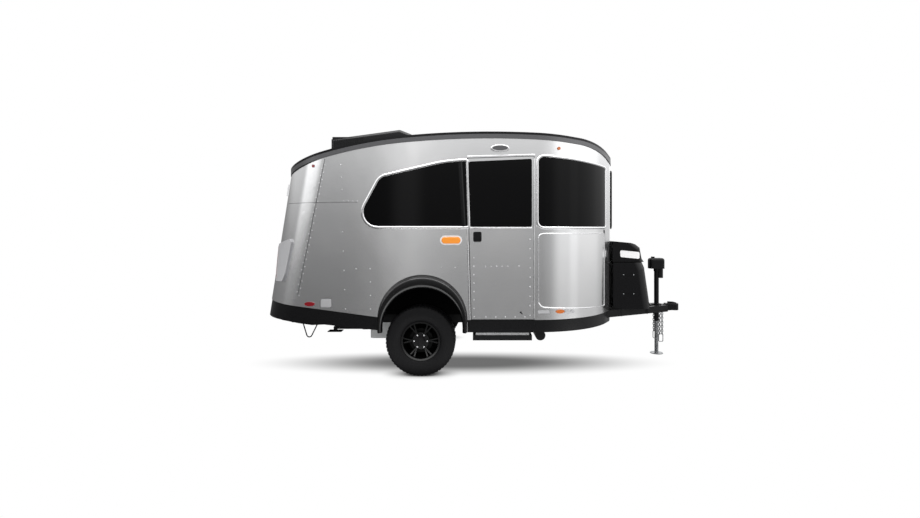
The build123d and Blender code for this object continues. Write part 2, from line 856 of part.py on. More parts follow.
coupler_ball_x = coupler_tip_x - 52.0
coupler_ball_radius = 25.4
coupler_socket_radius = coupler_ball_radius + 0.4
# latch lever on top of the coupler, as a side view
latch_half_width = 14.0
latch_corners = [
    (coupler_tip_x - 132, sill_z + 10), (coupler_tip_x - 128, sill_z + 38),
    (coupler_tip_x - 60, sill_z + 34),
    (coupler_tip_x - 26, sill_z + 24), (coupler_tip_x - 28, sill_z + 12), (coupler_tip_x - 70, sill_z + 12),
]
with BuildPart() as coupler:
    with BuildSketch(Plane.XY.offset(sill_z - 66)):
        with BuildLine():
            Polyline(
                (coupler_tip_x - 300, -124), (coupler_tip_x - 100, -42), (coupler_tip_x - 100, 42),
                (coupler_tip_x - 300, 124), (coupler_tip_x - 300, 98), (coupler_tip_x - 190, 40),
                (coupler_tip_x - 190, -40), (coupler_tip_x - 300, -98), close=True)
        make_face()
    extrude(amount=10)
    with BuildSketch(Plane.XY.offset(sill_z - 66)):
        with Locations((coupler_ball_x, 0)):
            Circle(52)
        with Locations((coupler_tip_x - 120, 0)):
            Rectangle(90, 84)
    extrude(amount=82)
    with BuildSketch(Plane.XY.offset(sill_z - 66)):
        with Locations((coupler_ball_x, 0)):
            Circle(coupler_socket_radius)
    extrude(amount=52, mode=Mode.SUBTRACT)
    add(tongue_stock, mode=Mode.SUBTRACT)
    fillet(coupler.faces().sort_by(Axis.Z)[-1].edges(), 8)
    with BuildSketch(Plane.XZ.offset(-latch_half_width)):
        with BuildLine():
            FilletPolyline(*latch_corners, radius=5, close=True)
        make_face()
    extrude(amount=2 * latch_half_width)
pieces["coupler"] = coupler

# ---------------------------------------------------------------- axle
wheel_y = tyre_outer_y - tyre_width / 2
axle_tube_x = axle_x + 150.0
axle_tube_z = 430.0
arm_run = axle_tube_x - axle_x
arm_drop = axle_tube_z - tyre_radius
arm_reach = sqrt(arm_run**2 + arm_drop**2)
spindle_radius = 22.0
with BuildPart() as axle_beam:
    with Locations((axle_tube_x, 0, axle_tube_z)):
        Box(76, 2 * 640, 76)
    for side in (-1, 1):
        with Locations((axle_tube_x, side * rail_y, (axle_tube_z + rail_bottom_z) / 2)):
            Box(160, 30, rail_bottom_z - axle_tube_z)
        with BuildSketch(Plane.XZ.offset(-side * 640)):
            with Locations(((axle_tube_x + axle_x) / 2, (axle_tube_z + tyre_radius) / 2)):
                SlotCenterToCenter(arm_reach, 84, rotation=degrees(atan2(arm_drop, arm_run)))
        extrude(amount=-side * 34)
        with BuildSketch(Plane.XZ.offset(-side * 674)):
            with Locations((axle_x, tyre_radius)):
                Circle(spindle_radius)
        extrude(amount=-side * 190)
        with BuildSketch(Plane.XZ.offset(-side * 674)):
            with Locations((axle_x, tyre_radius)):
                Circle(125)
        extrude(amount=-side * 5)
pieces["axle_beam"] = axle_beam

# ---------------------------------------------------------------- wheels


def wheel_plane(side):
    """Plane at the wheel's middle, its normal pointing outward."""
    return Plane(origin=(axle_x, side * wheel_y, tyre_radius), x_dir=(1, 0, 0), z_dir=(0, side, 0))


def facet_ring(middle, stations):
    """Tyre-like solid of flat facets. Stations: distance from the middle plane, radius of the corners."""
    with BuildPart() as ring:
        for distance, radius in stations:
            with BuildSketch(middle.offset(distance)):
                RegularPolygon(radius, tyre_facets)
        loft(ruled=True)
    return ring.part


half_tyre = tyre_width / 2
bead_face = rim_half - fit
tyre_facets = 48
facet_reach = 1 / cos(radians(180 / tyre_facets))
# outside of half the tyre, and the hollow of its side: distance from the middle plane, radius
tyre_outside = [
    (half_tyre - 28, tyre_radius), (half_tyre - 8, tyre_radius - 16), (half_tyre, tyre_radius - 78),
]
tyre_hollow = [
    (bead_face, (rim_radius + 1) * facet_reach), (half_tyre - 6, tyre_radius - 110),
    (half_tyre, tyre_radius - 86),
]
for side, name in ((-1, "right"), (1, "left")):
    middle = wheel_plane(side)
    spin_axis = Axis(middle.origin, (0, side, 0))
    with BuildPart() as tyre:
        add(facet_ring(middle, [(-d, r) for d, r in reversed(tyre_outside)] + tyre_outside))
        for end in (-1, 1):
            add(facet_ring(middle, [(end * d, r) for d, r in tyre_hollow]), mode=Mode.SUBTRACT)
        with BuildSketch(middle.offset(-half_tyre)):
            RegularPolygon(bead_radius * facet_reach, tyre_facets)
        extrude(amount=tyre_width, mode=Mode.SUBTRACT)
    pieces["tyre_" + name] = tyre

    with BuildPart() as rim:
        with BuildSketch(Plane(origin=middle.origin, x_dir=(0, side, 0), z_dir=(-side, 0, 0))):
            with BuildLine():
                Polyline(
                    (-rim_half - 6, rim_radius), (-rim_half, rim_radius),
                    (-rim_half, bead_radius - fit), (rim_half, bead_radius - fit),
                    (rim_half, rim_radius), (rim_half + 10, rim_radius),
                    (rim_half + 10, bead_radius - 8),
                    (20, bead_radius - 26), (6 - rim_half, bead_radius - 24),
                    (-rim_half - 6, bead_radius - 8),
                    close=True)
            make_face()
        revolve(axis=spin_axis)
        with BuildSketch(middle.offset(hub_offset)):
            Circle(hub_radius)
            with PolarLocations(0, spoke_pairs):
                for spread in (-spoke_spread, spoke_spread):
                    with Locations(Location((hub_radius - 8, 0, 0), (0, 0, spread))):
                        Rectangle(bead_radius - hub_radius, spoke_width, align=(Align.MIN, Align.CENTER))
        extrude(amount=spoke_depth)
        with BuildSketch(middle.offset(hub_offset + spoke_depth)):
            Circle(cap_radius)
            with PolarLocations(lug_circle_radius, lug_count):
                RegularPolygon(12, 6)
        extrude(amount=rim_half - hub_offset - spoke_depth + 6)
    pieces["rim_" + name] = rim

    with BuildPart() as drum:
        with BuildSketch(middle.offset(-38)):
            Circle(127)
            Circle(spindle_radius + fit, mode=Mode.SUBTRACT)
        extrude(amount=68)
    pieces["brake_drum_" + name] = drum

# ---------------------------------------------------------------- air unit and roof vent
air_rear_x = -1838.0
air_front_x = -862.0
air_half_width = 350.0
air_low_z = 2200.0
air_rear_z = 2613.0
air_top_z = 2724.0
air_front_z = 2659.0
air_slot_count = 13
air_slot_pitch = 27.0
air_slot_width = 10.0
roof_top = full_width(roof_region(-600, roof_thickness + fit))
with BuildPart() as air_unit:
    with BuildSketch(Plane.XZ):
        with BuildLine():
            Polyline(
                (air_rear_x, air_low_z), (air_rear_x, air_rear_z), (-1026, air_top_z),
                (air_front_x, air_front_z), (air_front_x, air_low_z), close=True)
        make_face()
    extrude(amount=air_half_width, both=True)
    across = air_unit.edges().filter_by(Axis.Y)
    fillet(across.filter_by(lambda e: e.center().X > air_rear_x + 10 and e.center().Z > 2640), 60)
    fillet(air_unit.edges().filter_by(Axis.Z), 40)
    add(roof_top, mode=Mode.SUBTRACT)
    with BuildSketch(Plane.XZ):
        for column in range(air_slot_count):
            slot_x = air_rear_x + 50 + column * air_slot_pitch
            with Locations((slot_x, 2560 + 0.137 * (slot_x - air_rear_x) / 2)):
                Rectangle(air_slot_width, 74)
    extrude(amount=2 * air_half_width, both=True, mode=Mode.SUBTRACT)
    inner_half_width = air_half_width - 6
    add(box_between((air_rear_x + 20, -inner_half_width, 2400), (air_front_x - 200, inner_half_width, 2634)))
    add(roof_top, mode=Mode.SUBTRACT)
pieces["air_unit"] = air_unit

vent_x = 200.0
vent_half = 210.0
vent_base_z = 2480.0
vent_base_height = 94.0
vent_lid_lap = 12.0
vent_axis_x = vent_x - vent_half - vent_lid_lap - 8
vent_axis_z = vent_base_z + vent_base_height - 6
vent_knuckle_radius = 5.0
vent_knuckle_y = 0.5 * vent_half
with BuildPart() as vent_base:
    with BuildSketch(Plane.XY.offset(vent_base_z)):
        with Locations((vent_x, 0)):
            RectangleRounded(2 * vent_half, 2 * vent_half, 30)
            RectangleRounded(2 * vent_half - 40, 2 * vent_half - 40, 20, mode=Mode.SUBTRACT)
    extrude(amount=vent_base_height)
    for y in (-vent_knuckle_y, vent_knuckle_y):
        add(rod_along_y(vent_axis_x, vent_axis_z, vent_knuckle_radius, y - 20, y + 20))
        leaf_low = (vent_axis_x, y - 20, vent_axis_z - 4)
        add(box_between(leaf_low, (vent_x - vent_half + 4, y + 20, vent_axis_z + 2)))
    add(roof_top, mode=Mode.SUBTRACT)
pieces["vent_base"] = vent_base
vent_lid_z = vent_base_z + vent_base_height + 0.5
vent_lid_height = 22.0
with BuildPart() as vent_lid:
    with BuildSketch(Plane.XY.offset(vent_lid_z)):
        with Locations((vent_x, 0)):
            RectangleRounded(2 * (vent_half + vent_lid_lap), 2 * (vent_half + vent_lid_lap), 40)
    extrude(amount=vent_lid_height)
    fillet(vent_lid.faces().sort_by(Axis.Z)[-1].edges(), 12)
    for y in (-vent_knuckle_y, vent_knuckle_y):
        for low_y in (y - 50.5, y + 20.5):
            add(rod_along_y(vent_axis_x, vent_axis_z, vent_knuckle_radius, low_y, low_y + 30))
            arm_low = (vent_axis_x - 3, low_y, vent_axis_z)
            add(box_between(arm_low, (vent_axis_x + 3, low_y + 30, vent_lid_z + 8)))
            bridge_low = (vent_axis_x - 3, low_y, vent_lid_z + 0.5)
            add(box_between(bridge_low, (vent_axis_x + 10, low_y + 30, vent_lid_z + 8)))
pieces["vent_lid"] = vent_lid

# ---------------------------------------------------------------- gas locker and bottles
locker_floor_z = sill_z
base_corners = [
    (locker_rear_x, locker_floor_z), (1954, locker_floor_z), (1884, 1090), (1856, locker_split_z),
    (locker_rear_x, locker_split_z),
]
lid_corners = [
    (locker_rear_x, locker_split_z + 5.5), (1868, locker_split_z + 5.5), (1840, 1203), (1816, 1331),
    (1770, 1366), (1700, 1386), (locker_rear_x, 1405),
]
plate_corners = [(1571, 1300), (1576, 1219), (1801, 1197), (1804, 1277)]
plate_round = 18.0
base_round = 120.0
lid_round = 55.0
lid_half_width = locker_half_width - 14
lid_hinge_x = locker_rear_x - 10.0
lid_hinge_z = 1396.0
lid_hinge_y = 220.0
lid_lug = 40.0
lid_pin_radius = 3.0


def locker_block(corners, half, front_round, inset):
    """Filled moulding over a side view, drawn in by inset, its upright front corners rounded."""
    with BuildPart() as block:
        with BuildSketch(Plane.XZ.offset(-half + inset)):
            Polygon(*corners, align=None)
            if inset:
                offset(amount=-inset, mode=Mode.REPLACE)
        extrude(amount=2 * (half - inset))
        edges = block.edges().filter_by(lambda e: abs(e.center().Y) > half - inset - 1)
        fillet(edges.filter_by(lambda e: e.center().X > locker_rear_x + 264), front_round - inset)
    return block.part


def locker_shell(corners, half, front_round, up):
    """Moulding with even walls, open at its top (up = 1) or at its bottom (up = -1)."""
    cavity = locker_block(corners, half, front_round, locker_sheet)
    with BuildPart() as shell:
        add(locker_block(corners, half, front_round, 0))
        add(cavity, mode=Mode.SUBTRACT)
        mouth = cavity.faces().sort_by(Axis((0, 0, 0), (0, 0, up)))[-1]
        extrude(to_extrude=mouth, amount=locker_sheet + 1, dir=(0, 0, up), mode=Mode.SUBTRACT)
    return shell


def plate_face(inset):
    """Side-view outline of the plate in the lid's side, at a distance from the middle."""
    with BuildSketch(Plane.XZ.offset(lid_half_width / 2)) as outline:
        with BuildLine():
            FilletPolyline(*plate_corners, radius=plate_round, close=True)
        make_face()
        if inset:
            offset(amount=-inset, mode=Mode.REPLACE)
    return outline.sketch


pieces["locker_base"] = locker_shell(base_corners, locker_half_width, base_round, 1)
with BuildPart() as lid_plate:
    add(locker_block(lid_corners, lid_half_width, lid_round, 0))
    add(locker_block(lid_corners, lid_half_width, lid_round, locker_sheet), mode=Mode.SUBTRACT)
    extrude(to_extrude=plate_face(fit), amount=lid_half_width, mode=Mode.INTERSECT)
pieces["lid_plates"] = both_sides(lid_plate.part)
with BuildPart() as lid_opening:
    extrude(to_extrude=plate_face(0), amount=lid_half_width)
    mirror(about=Plane.XZ)
with BuildPart() as locker_lid:
    add(locker_shell(lid_corners, lid_half_width, lid_round, -1).part)
    add(lid_opening.part, mode=Mode.SUBTRACT)
    for y in (-lid_hinge_y, lid_hinge_y):
        with Locations((lid_hinge_x, y, lid_hinge_z)):
            Box(locker_rear_x - lid_hinge_x + 2, lid_lug, 10, align=(Align.MIN, Align.CENTER, Align.CENTER))
        add(rod_along_y(lid_hinge_x, lid_hinge_z, 7, y - lid_lug / 2, y + lid_lug / 2))
        bore = rod_along_y(lid_hinge_x, lid_hinge_z, lid_pin_radius + fit, y - lid_lug / 2, y + lid_lug / 2)
        add(bore, mode=Mode.SUBTRACT)
pieces["locker_lid"] = locker_lid
with BuildPart() as hinged_front_wall:
    add(front_wall.part)
    for y in (-lid_hinge_y, lid_hinge_y):
        add(rod_along_y(lid_hinge_x, lid_hinge_z, lid_pin_radius, y - 30, y + 30))
        for cheek_y in (y - 30, y + 24):
            low = (nose_x - 1, cheek_y, lid_hinge_z - 6)
            add(box_between(low, (lid_hinge_x + 6, cheek_y + 6, lid_hinge_z + 6)))
pieces["front_wall"] = hinged_front_wall

bottle_x = (locker_rear_x + 1854.0) / 2
bottle_height = 370.0
bottle_neck = 150.0
with BuildPart() as gas_bottles:
    for side in (-1, 1):
        with Locations((bottle_x, side * 170, locker_floor_z + locker_sheet)):
            Cylinder(150, bottle_height, align=(Align.CENTER, Align.CENTER, Align.MIN))
        with Locations((bottle_x, side * 170, locker_floor_z + locker_sheet + bottle_height)):
            Cylinder(100, bottle_neck, align=(Align.CENTER, Align.CENTER, Align.MIN))
pieces["gas_bottles"] = gas_bottles

# ---------------------------------------------------------------- jack
jack_tube_low_z = 405.0
jack_head_z = 1024.0
jack_leg_radius = 23.0
with BuildPart() as jack_tube:
    with BuildSketch(Plane.XY.offset(jack_tube_low_z)):
        with Locations((jack_x, 0)):
            Circle(jack_tube_radius)
            Circle(jack_leg_radius + 0.4, mode=Mode.SUBTRACT)
    extrude(amount=jack_head_z - jack_tube_low_z)
    with BuildSketch(Plane.XY.offset(jack_head_z)):
        with Locations((jack_x, 0)):
            Circle(34)
    extrude(amount=60)
    with BuildSketch(Plane.XY.offset(jack_head_z + 33)):
        with Locations((jack_x - 4, 0)):
            RectangleRounded(186, 130, 40)
    extrude(amount=130)
    fillet(jack_tube.faces().sort_by(Axis.Z)[-1].edges(), 30)
    with BuildSketch(Plane.XY.offset(jack_head_z + 160)):
        with Locations((jack_x - 45, 0)):
            Circle(22)
    extrude(amount=20)
    with BuildSketch(Plane.XY.offset(jack_head_z - 84)):
        with Locations((jack_x + 40, 0)):
            Circle(40)
    extrude(amount=150)
    with BuildSketch(Plane.XY.offset(jack_tube_low_z)):
        with Locations((jack_x, 0)):
            Circle(jack_leg_radius + 0.4)
    extrude(amount=jack_head_z - jack_tube_low_z, mode=Mode.SUBTRACT)
    with BuildSketch(Plane.XY.offset(sill_z)):
        with Locations((jack_x, 0)):
            Circle(60)
            Circle(jack_tube_radius, mode=Mode.SUBTRACT)
    extrude(amount=12)
pieces["jack_tube"] = jack_tube

jack_foot_radius = 76.0
jack_leg_top_z = 690.0
with BuildPart() as jack_leg:
    with BuildSketch(Plane.XY):
        with Locations((jack_x, 0)):
            Circle(jack_foot_radius)
    extrude(amount=7)
    with BuildSketch(Plane.XY.offset(7)):
        with Locations((jack_x, 0)):
            Circle(jack_leg_radius)
    extrude(amount=jack_leg_top_z - 7)
pieces["jack_leg"] = jack_leg

# ---------------------------------------------------------------- step, stabilisers, tank, carrier
step_front_y = -980.0
step_depth = 226.0
step_top_z = 440.0
step_thickness = 55.0
with BuildPart() as entry_step:
    with Locations((149, step_front_y, step_top_z)):
        Box(619, step_depth, step_thickness, align=(Align.CENTER, Align.MIN, Align.MAX))
    for x in (-142, 440):
        with Locations((x, step_front_y + 60, step_top_z)):
            Box(16, 420, 30, align=(Align.CENTER, Align.MIN, Align.MIN))
pieces["entry_step"] = entry_step
with BuildPart() as step_tread:
    with Locations((149, step_front_y + 4, step_top_z)):
        Box(619 - 60, step_depth - 40, 28, align=(Align.CENTER, Align.MIN, Align.MIN))
    fillet(step_tread.faces().sort_by(Axis.Z)[-1].edges(), 6)
pieces["step_tread"] = step_tread
with BuildPart() as step_runners:
    for x, outward in ((-142, -1), (440, 1)):
        with Locations((x, -900, step_top_z + 30.4)):
            Box(30, 460, rail_bottom_z - step_top_z - 30.4, align=(Align.CENTER, Align.MIN, Align.MIN))
        with Locations((x + outward * 15, -900, step_top_z + 6)):
            Box(6, 460, rail_bottom_z - step_top_z - 6, align=(Align.CENTER, Align.MIN, Align.MIN))
pieces["step_runners"] = step_runners

arm_length = 326.0
foot_length = 145.0
foot_drop = 26.0
for side, name in ((-1, "right"), (1, "left")):
    with BuildPart() as arm:
        with BuildSketch(Plane.XZ.offset(-side * stabiliser_y)):
            with Locations((stabiliser_x - arm_length / 2, stabiliser_z)):
                SlotCenterToCenter(arm_length, 34)
            with Locations((stabiliser_x, stabiliser_z)):
                Circle(8.3, mode=Mode.SUBTRACT)
        extrude(amount=16, both=True)
        with Locations((stabiliser_x - arm_length, side * stabiliser_y, stabiliser_z)):
            Box(34, 30, 17 + foot_drop, align=(Align.CENTER, Align.CENTER, Align.MAX))
        with Locations((stabiliser_x - arm_length, side * stabiliser_y, stabiliser_z - 17 - foot_drop)):
            Box(foot_length, 90, 8, align=(Align.CENTER, Align.CENTER, Align.MIN))
    pieces["stabiliser_arm_" + name] = arm

tank_rear_x = -1338.0
tank_length = 256.0
tank_height = 225.0
with BuildPart() as waste_tank:
    with Locations((tank_rear_x, 0, sill_z - 80)):
        Box(tank_length, half_width, tank_height, align=(Align.MIN, Align.CENTER, Align.MAX))
    fillet(waste_tank.edges().filter_by(Axis.Z), 40)
pieces["waste_tank"] = waste_tank

carrier_x = 549.0
carrier_z = 433.0
with BuildPart() as hose_carrier:
    with BuildSketch(Plane.XZ.offset(-940)):
        with Locations((carrier_x, carrier_z)):
            Circle(53)
    extrude(amount=1900)
    for side in (-1, 1):
        with Locations((carrier_x, side * rail_y, carrier_z)):
            Box(30, 20, rail_bottom_z - carrier_z, align=(Align.CENTER, Align.CENTER, Align.MIN))
pieces["hose_carrier"] = hose_carrier

tray_corners = [
    (-2290, 606), (-2247, 556), (-2066, 520), (-1921, 500), (-1720, 508), (-1720, 526), (-1925, 520),
    (-2066, 540), (-2180, 575), (-2180, 606),
]
with BuildPart() as tail_tray:
    with BuildSketch(Plane.XZ.offset(-0.74 * half_width)):
        Polygon(*tray_corners, align=None)
    extrude(amount=2 * 0.74 * half_width)
    tray_gap = rail_y + rail_width
    add(box_between((chassis_rear_x, -tray_gap, 0), (0, tray_gap, sill_z)), mode=Mode.SUBTRACT)
pieces["tail_tray"] = tail_tray

# ---------------------------------------------------------------- lamps and plate
fairing_corners = [
    (-2075, 1449), (-2054, 1412), (-2075, 1308), (-2118, 1089), (-2158, 1004), (-2420, 1004),
    (-2420, 1392), (-2240, 1392),
]
fairing_proud = 24.0
# the fairing ends in an upright face, which holds the lens
fairing_rear_x = -2246.0
lens_depth = 8.0
lens_low_z = 1040.0
lens_high_z = 1370.0


def on_tail_corner(proud, corners, radius, low, high):
    """Shell on the right tail corner, cut to a side-view outline and to the box from low to high."""
    with BuildPart() as shell:
        add(tail_corner(-proud, proud))
        add(tail_strip(-proud, proud))
        with BuildSketch(Plane.XZ):
            with BuildLine():
                FilletPolyline(*corners, radius=radius, close=True)
            make_face()
        extrude(amount=half_width + 100, mode=Mode.INTERSECT)
        add(box_between(low, high), mode=Mode.INTERSECT)
    return shell.part


pieces["tail_lamps"] = both_sides(
    on_tail_corner(fairing_proud, fairing_corners, 14, (fairing_rear_x, -beyond, 0), (0, 0, beyond)))
lens_part = on_tail_corner(
    fairing_proud, fairing_corners, 14, (fairing_rear_x - lens_depth, -beyond, lens_low_z),
    (fairing_rear_x, 0, lens_high_z))


def oval_on_side(x, z, length, height, low_y, high_y, pointed=False):
    """Rounded bar or ellipse on the right side, between two distances from the middle."""
    with BuildPart() as oval:
        with BuildSketch(Plane.XZ.offset(low_y)):
            with Locations((x, z)):
                if pointed:
                    Ellipse(length / 2, height / 2)
                else:
                    SlotOverall(length, height)
        extrude(amount=high_y - low_y)
    return oval.part


def plan_y(x):
    """Distance of the outer face from the middle at x, on the flat side and the bend."""
    if x <= bend_start_x:
        return half_width
    return half_width - bend_radius + sqrt(bend_radius**2 - (x - bend_start_x) ** 2)


amber_x = 753.0
amber_z = 690.0
upper_amber_x = 739.0
upper_amber_z = 2392.0
lamp_proud = 9.0
with BuildPart() as amber_lamps:
    for x, z, length, height in ((amber_x, amber_z, 94, 42), (upper_amber_x, upper_amber_z, 34, 33)):
        add(oval_on_side(x, z, length, height, plan_y(x) - 40, half_width, pointed=True))
    add(plan_ring(-lamp_proud, lamp_proud, loft_low_z, loft_high_z), mode=Mode.INTERSECT)
    mirror(about=Plane.XZ)
pieces["marker_lamps"] = amber_lamps

red_x = -1853.0
red_z = 773.0
upper_red_corners = [(-1836, 2192), (-1808, 2192), (-1808, 2220), (-1836, 2220)]
with BuildPart() as red_lamps:
    add(lens_part)
    add(oval_on_side(red_x, red_z, 106, 46, half_width, half_width + lamp_proud, pointed=True))
    add(on_tail_corner(6, upper_red_corners, 6, (-beyond, -half_width, 0), (0, -600, beyond)))
    mirror(about=Plane.XZ)
pieces["red_lamps"] = red_lamps

porch_x = -386.0
porch_z = 1434.0
with BuildPart() as porch_lamp:
    add(oval_on_side(porch_x, porch_z, 198, 70, half_width, half_width + 24))
    fillet(porch_lamp.faces().sort_by(Axis.Y)[0].edges(), 10)
pieces["porch_lamp"] = porch_lamp

# small fittings on the right side: lamp bezel, blank oval plate, inlet cover, sockets, door catch
with BuildPart() as side_fittings:
    add(oval_on_side(porch_x, porch_z, 226, 96, half_width, half_width + 12))
    add(oval_on_side(porch_x, porch_z, 198.6, 70.6, half_width, half_width + 12), mode=Mode.SUBTRACT)
    with BuildSketch(Plane.XZ.offset(half_width)):
        with Locations((122, 2388)):
            Ellipse(95, 36)
        with Locations((-1684, 780)):
            RectangleRounded(104, 84, 14)
    extrude(amount=6)
    with BuildSketch(Plane.XZ.offset(half_width + 6)):
        with Locations((122, 2388)):
            Ellipse(80, 25)
        with Locations((-1684, 780)):
            RectangleRounded(84, 64, 8)
    extrude(amount=4)
with BuildPart() as corner_fittings:
    for x, z, length, height in ((832, 684, 52, 50), (893, 682, 40, 39), (575, 690, 124, 30)):
        add(oval_on_side(x, z, length, height, plan_y(x) - 40, half_width))
    add(plan_ring(-8, 8, loft_low_z, loft_high_z), mode=Mode.INTERSECT)
bracket_corners = [(-2420, 1917), (-2100, 1917), (-2100, 2039), (-2420, 2039)]
with BuildPart() as tail_bracket:
    add(on_tail_corner(20, bracket_corners, 10, (-beyond, -700, 0), (0, -660, beyond)))
with BuildPart() as all_fittings:
    add(side_fittings.part)
    add(corner_fittings.part)
    add(tail_bracket.part)
pieces["side_fittings"] = all_fittings

# ---------------------------------------------------------------- safety chains
# Each chain hangs doubled from its rail, as two strands that share their last link.
link_wire = 7.0
link_length = 40.0
link_width = 26.0
link_pitch = link_length - 2 * link_wire + fit
link_count = 10
end_link_length = 100.0
strand_x = (jack_x + 2.0, jack_x + 34.0)
chain_y = 95.0
chain_top_z = sill_z - tongue_depth - fit


def chain_link(center, across, length, width):
    """Upright link of square wire with cut corners. Its width runs along X, or along Y if across."""
    if across:
        plane = Plane(origin=center, x_dir=(0, 1, 0), z_dir=(1, 0, 0))
    else:
        plane = Plane(origin=center, x_dir=(1, 0, 0), z_dir=(0, -1, 0))
    corner = 0.35 * link_width
    with BuildPart() as link:
        with BuildSketch(plane.offset(-link_wire / 2)):
            for inset, mode in ((0, Mode.ADD), (link_wire, Mode.SUBTRACT)):
                half_run = length / 2 - inset
                half_span = width / 2 - inset
                cut = corner - 0.586 * inset
                quarter = [(half_span, half_run - cut), (half_span - cut, half_run)]
                top = quarter + [(-x, y) for x, y in reversed(quarter)]
                Polygon(*top, *[(-x, -y) for x, y in top], align=None, mode=mode)
        extrude(amount=link_wire)
    return link.part


with BuildPart() as chain:
    for x in strand_x:
        for place in range(link_count):
            z = chain_top_z - link_length / 2 - place * link_pitch
            add(chain_link((x, -chain_y, z), place % 2 == 1, link_length, link_width))
    end_z = chain_top_z - link_length - (link_count - 1) * link_pitch + 2 * link_wire - fit
    end_width = strand_x[1] - strand_x[0] + link_width
    end_center = (sum(strand_x) / 2, -chain_y, end_z - end_link_length / 2)
    add(chain_link(end_center, False, end_link_length, end_width))
pieces["safety_chains"] = both_sides(chain.part)

for name, piece in pieces.items():
    piece.part.label = name
    export_step(piece.part, "parts/" + name + ".step")
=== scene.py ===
# %% [markdown]
# # A travel caravan in brushed aluminium
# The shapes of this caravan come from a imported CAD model: body panels, doors, glass, chassis and wheels.
# This notebook gives each of them a finish and adds what is too small for the CAD model, such as rivets, bright
# window trims and the tread of the tyres. Everything is in metres: +X points to the coupler, +Z up, and the
# side with the door faces -Y.

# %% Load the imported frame
import math

import bpy
import numpy as np
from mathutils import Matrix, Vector


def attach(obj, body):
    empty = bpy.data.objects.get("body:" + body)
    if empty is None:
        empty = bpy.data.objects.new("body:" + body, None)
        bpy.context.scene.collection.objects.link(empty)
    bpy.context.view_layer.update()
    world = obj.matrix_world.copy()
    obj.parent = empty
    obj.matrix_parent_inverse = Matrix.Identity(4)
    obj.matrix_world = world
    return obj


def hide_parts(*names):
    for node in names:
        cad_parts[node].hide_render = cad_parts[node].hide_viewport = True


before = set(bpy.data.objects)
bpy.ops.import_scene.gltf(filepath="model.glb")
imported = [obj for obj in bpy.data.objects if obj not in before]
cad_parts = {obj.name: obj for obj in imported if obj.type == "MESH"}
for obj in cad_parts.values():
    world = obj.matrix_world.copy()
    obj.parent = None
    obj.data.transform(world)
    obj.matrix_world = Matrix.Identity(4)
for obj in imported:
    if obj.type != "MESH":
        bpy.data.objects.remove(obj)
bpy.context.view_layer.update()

scene = bpy.context.scene

# %% [markdown]
# ## Finishes
# A finish in Blender is a small graph of nodes. One helper starts each of them: it makes the Principled shader and
# a noise that lives in the object's own coordinates, so that a finish stays in place when a door opens. Even a
# plain paint gets a little noise in its roughness, because no real surface shines evenly.


# %% Helpers for node materials
def new_finish(name):
    """A node material with only a Principled shader and its output."""
    material = bpy.data.materials.new(name)
    material.use_nodes = True
    tree = material.node_tree
    tree.nodes.clear()
    out = tree.nodes.new("ShaderNodeOutputMaterial")
    shader = tree.nodes.new("ShaderNodeBsdfPrincipled")
    tree.links.new(shader.outputs["BSDF"], out.inputs["Surface"])
    return material, tree, shader


def object_noise(tree, scale, stretch=(1, 1, 1), detail=3.0):
    """Noise in object coordinates, squeezed along some axes by stretch."""
    place = tree.nodes.new("ShaderNodeTexCoord")
    mapping = tree.nodes.new("ShaderNodeMapping")
    mapping.inputs["Scale"].default_value = stretch
    noise = tree.nodes.new("ShaderNodeTexNoise")
    noise.inputs["Scale"].default_value = scale
    noise.inputs["Detail"].default_value = detail
    tree.links.new(place.outputs["Object"], mapping.inputs["Vector"])
    tree.links.new(mapping.outputs["Vector"], noise.inputs["Vector"])
    return noise.outputs["Fac"]


def spread(tree, value, low, high):
    """Maps a noise, which is mostly between 0.3 and 0.7, to a range."""
    node = tree.nodes.new("ShaderNodeMapRange")
    node.inputs["From Min"].default_value = 0.3
    node.inputs["From Max"].default_value = 0.7
    node.inputs["To Min"].default_value = low
    node.inputs["To Max"].default_value = high
    tree.links.new(value, node.inputs["Value"])
    return node.outputs["Result"]


def bump(tree, shader, value, distance, strength=1.0, under=None):
    """Feeds a height to the shader's normal. Another bump may lie under it."""
    node = tree.nodes.new("ShaderNodeBump")
    node.inputs["Distance"].default_value = distance
    node.inputs["Strength"].default_value = strength
    tree.links.new(value, node.inputs["Height"])
    if under is not None:
        tree.links.new(under, node.inputs["Normal"])
    tree.links.new(node.outputs["Normal"], shader.inputs["Normal"])
    return node.outputs["Normal"]


def plain(name, color, roughness, metallic=0.0, grain=60.0, depth=0.0, coat=0.0, shine=0.5):
    """Paint, plastic or rubber: one colour, with noise in its roughness and, with depth, in its surface."""
    material, tree, shader = new_finish(name)
    shader.inputs["Specular IOR Level"].default_value = shine
    shader.inputs["Base Color"].default_value = (*color, 1)
    shader.inputs["Metallic"].default_value = metallic
    shader.inputs["Coat Weight"].default_value = coat
    noise = object_noise(tree, grain)
    tree.links.new(spread(tree, noise, roughness * 0.85, roughness * 1.15), shader.inputs["Roughness"])
    if depth:
        bump(tree, shader, noise, depth)
    return material
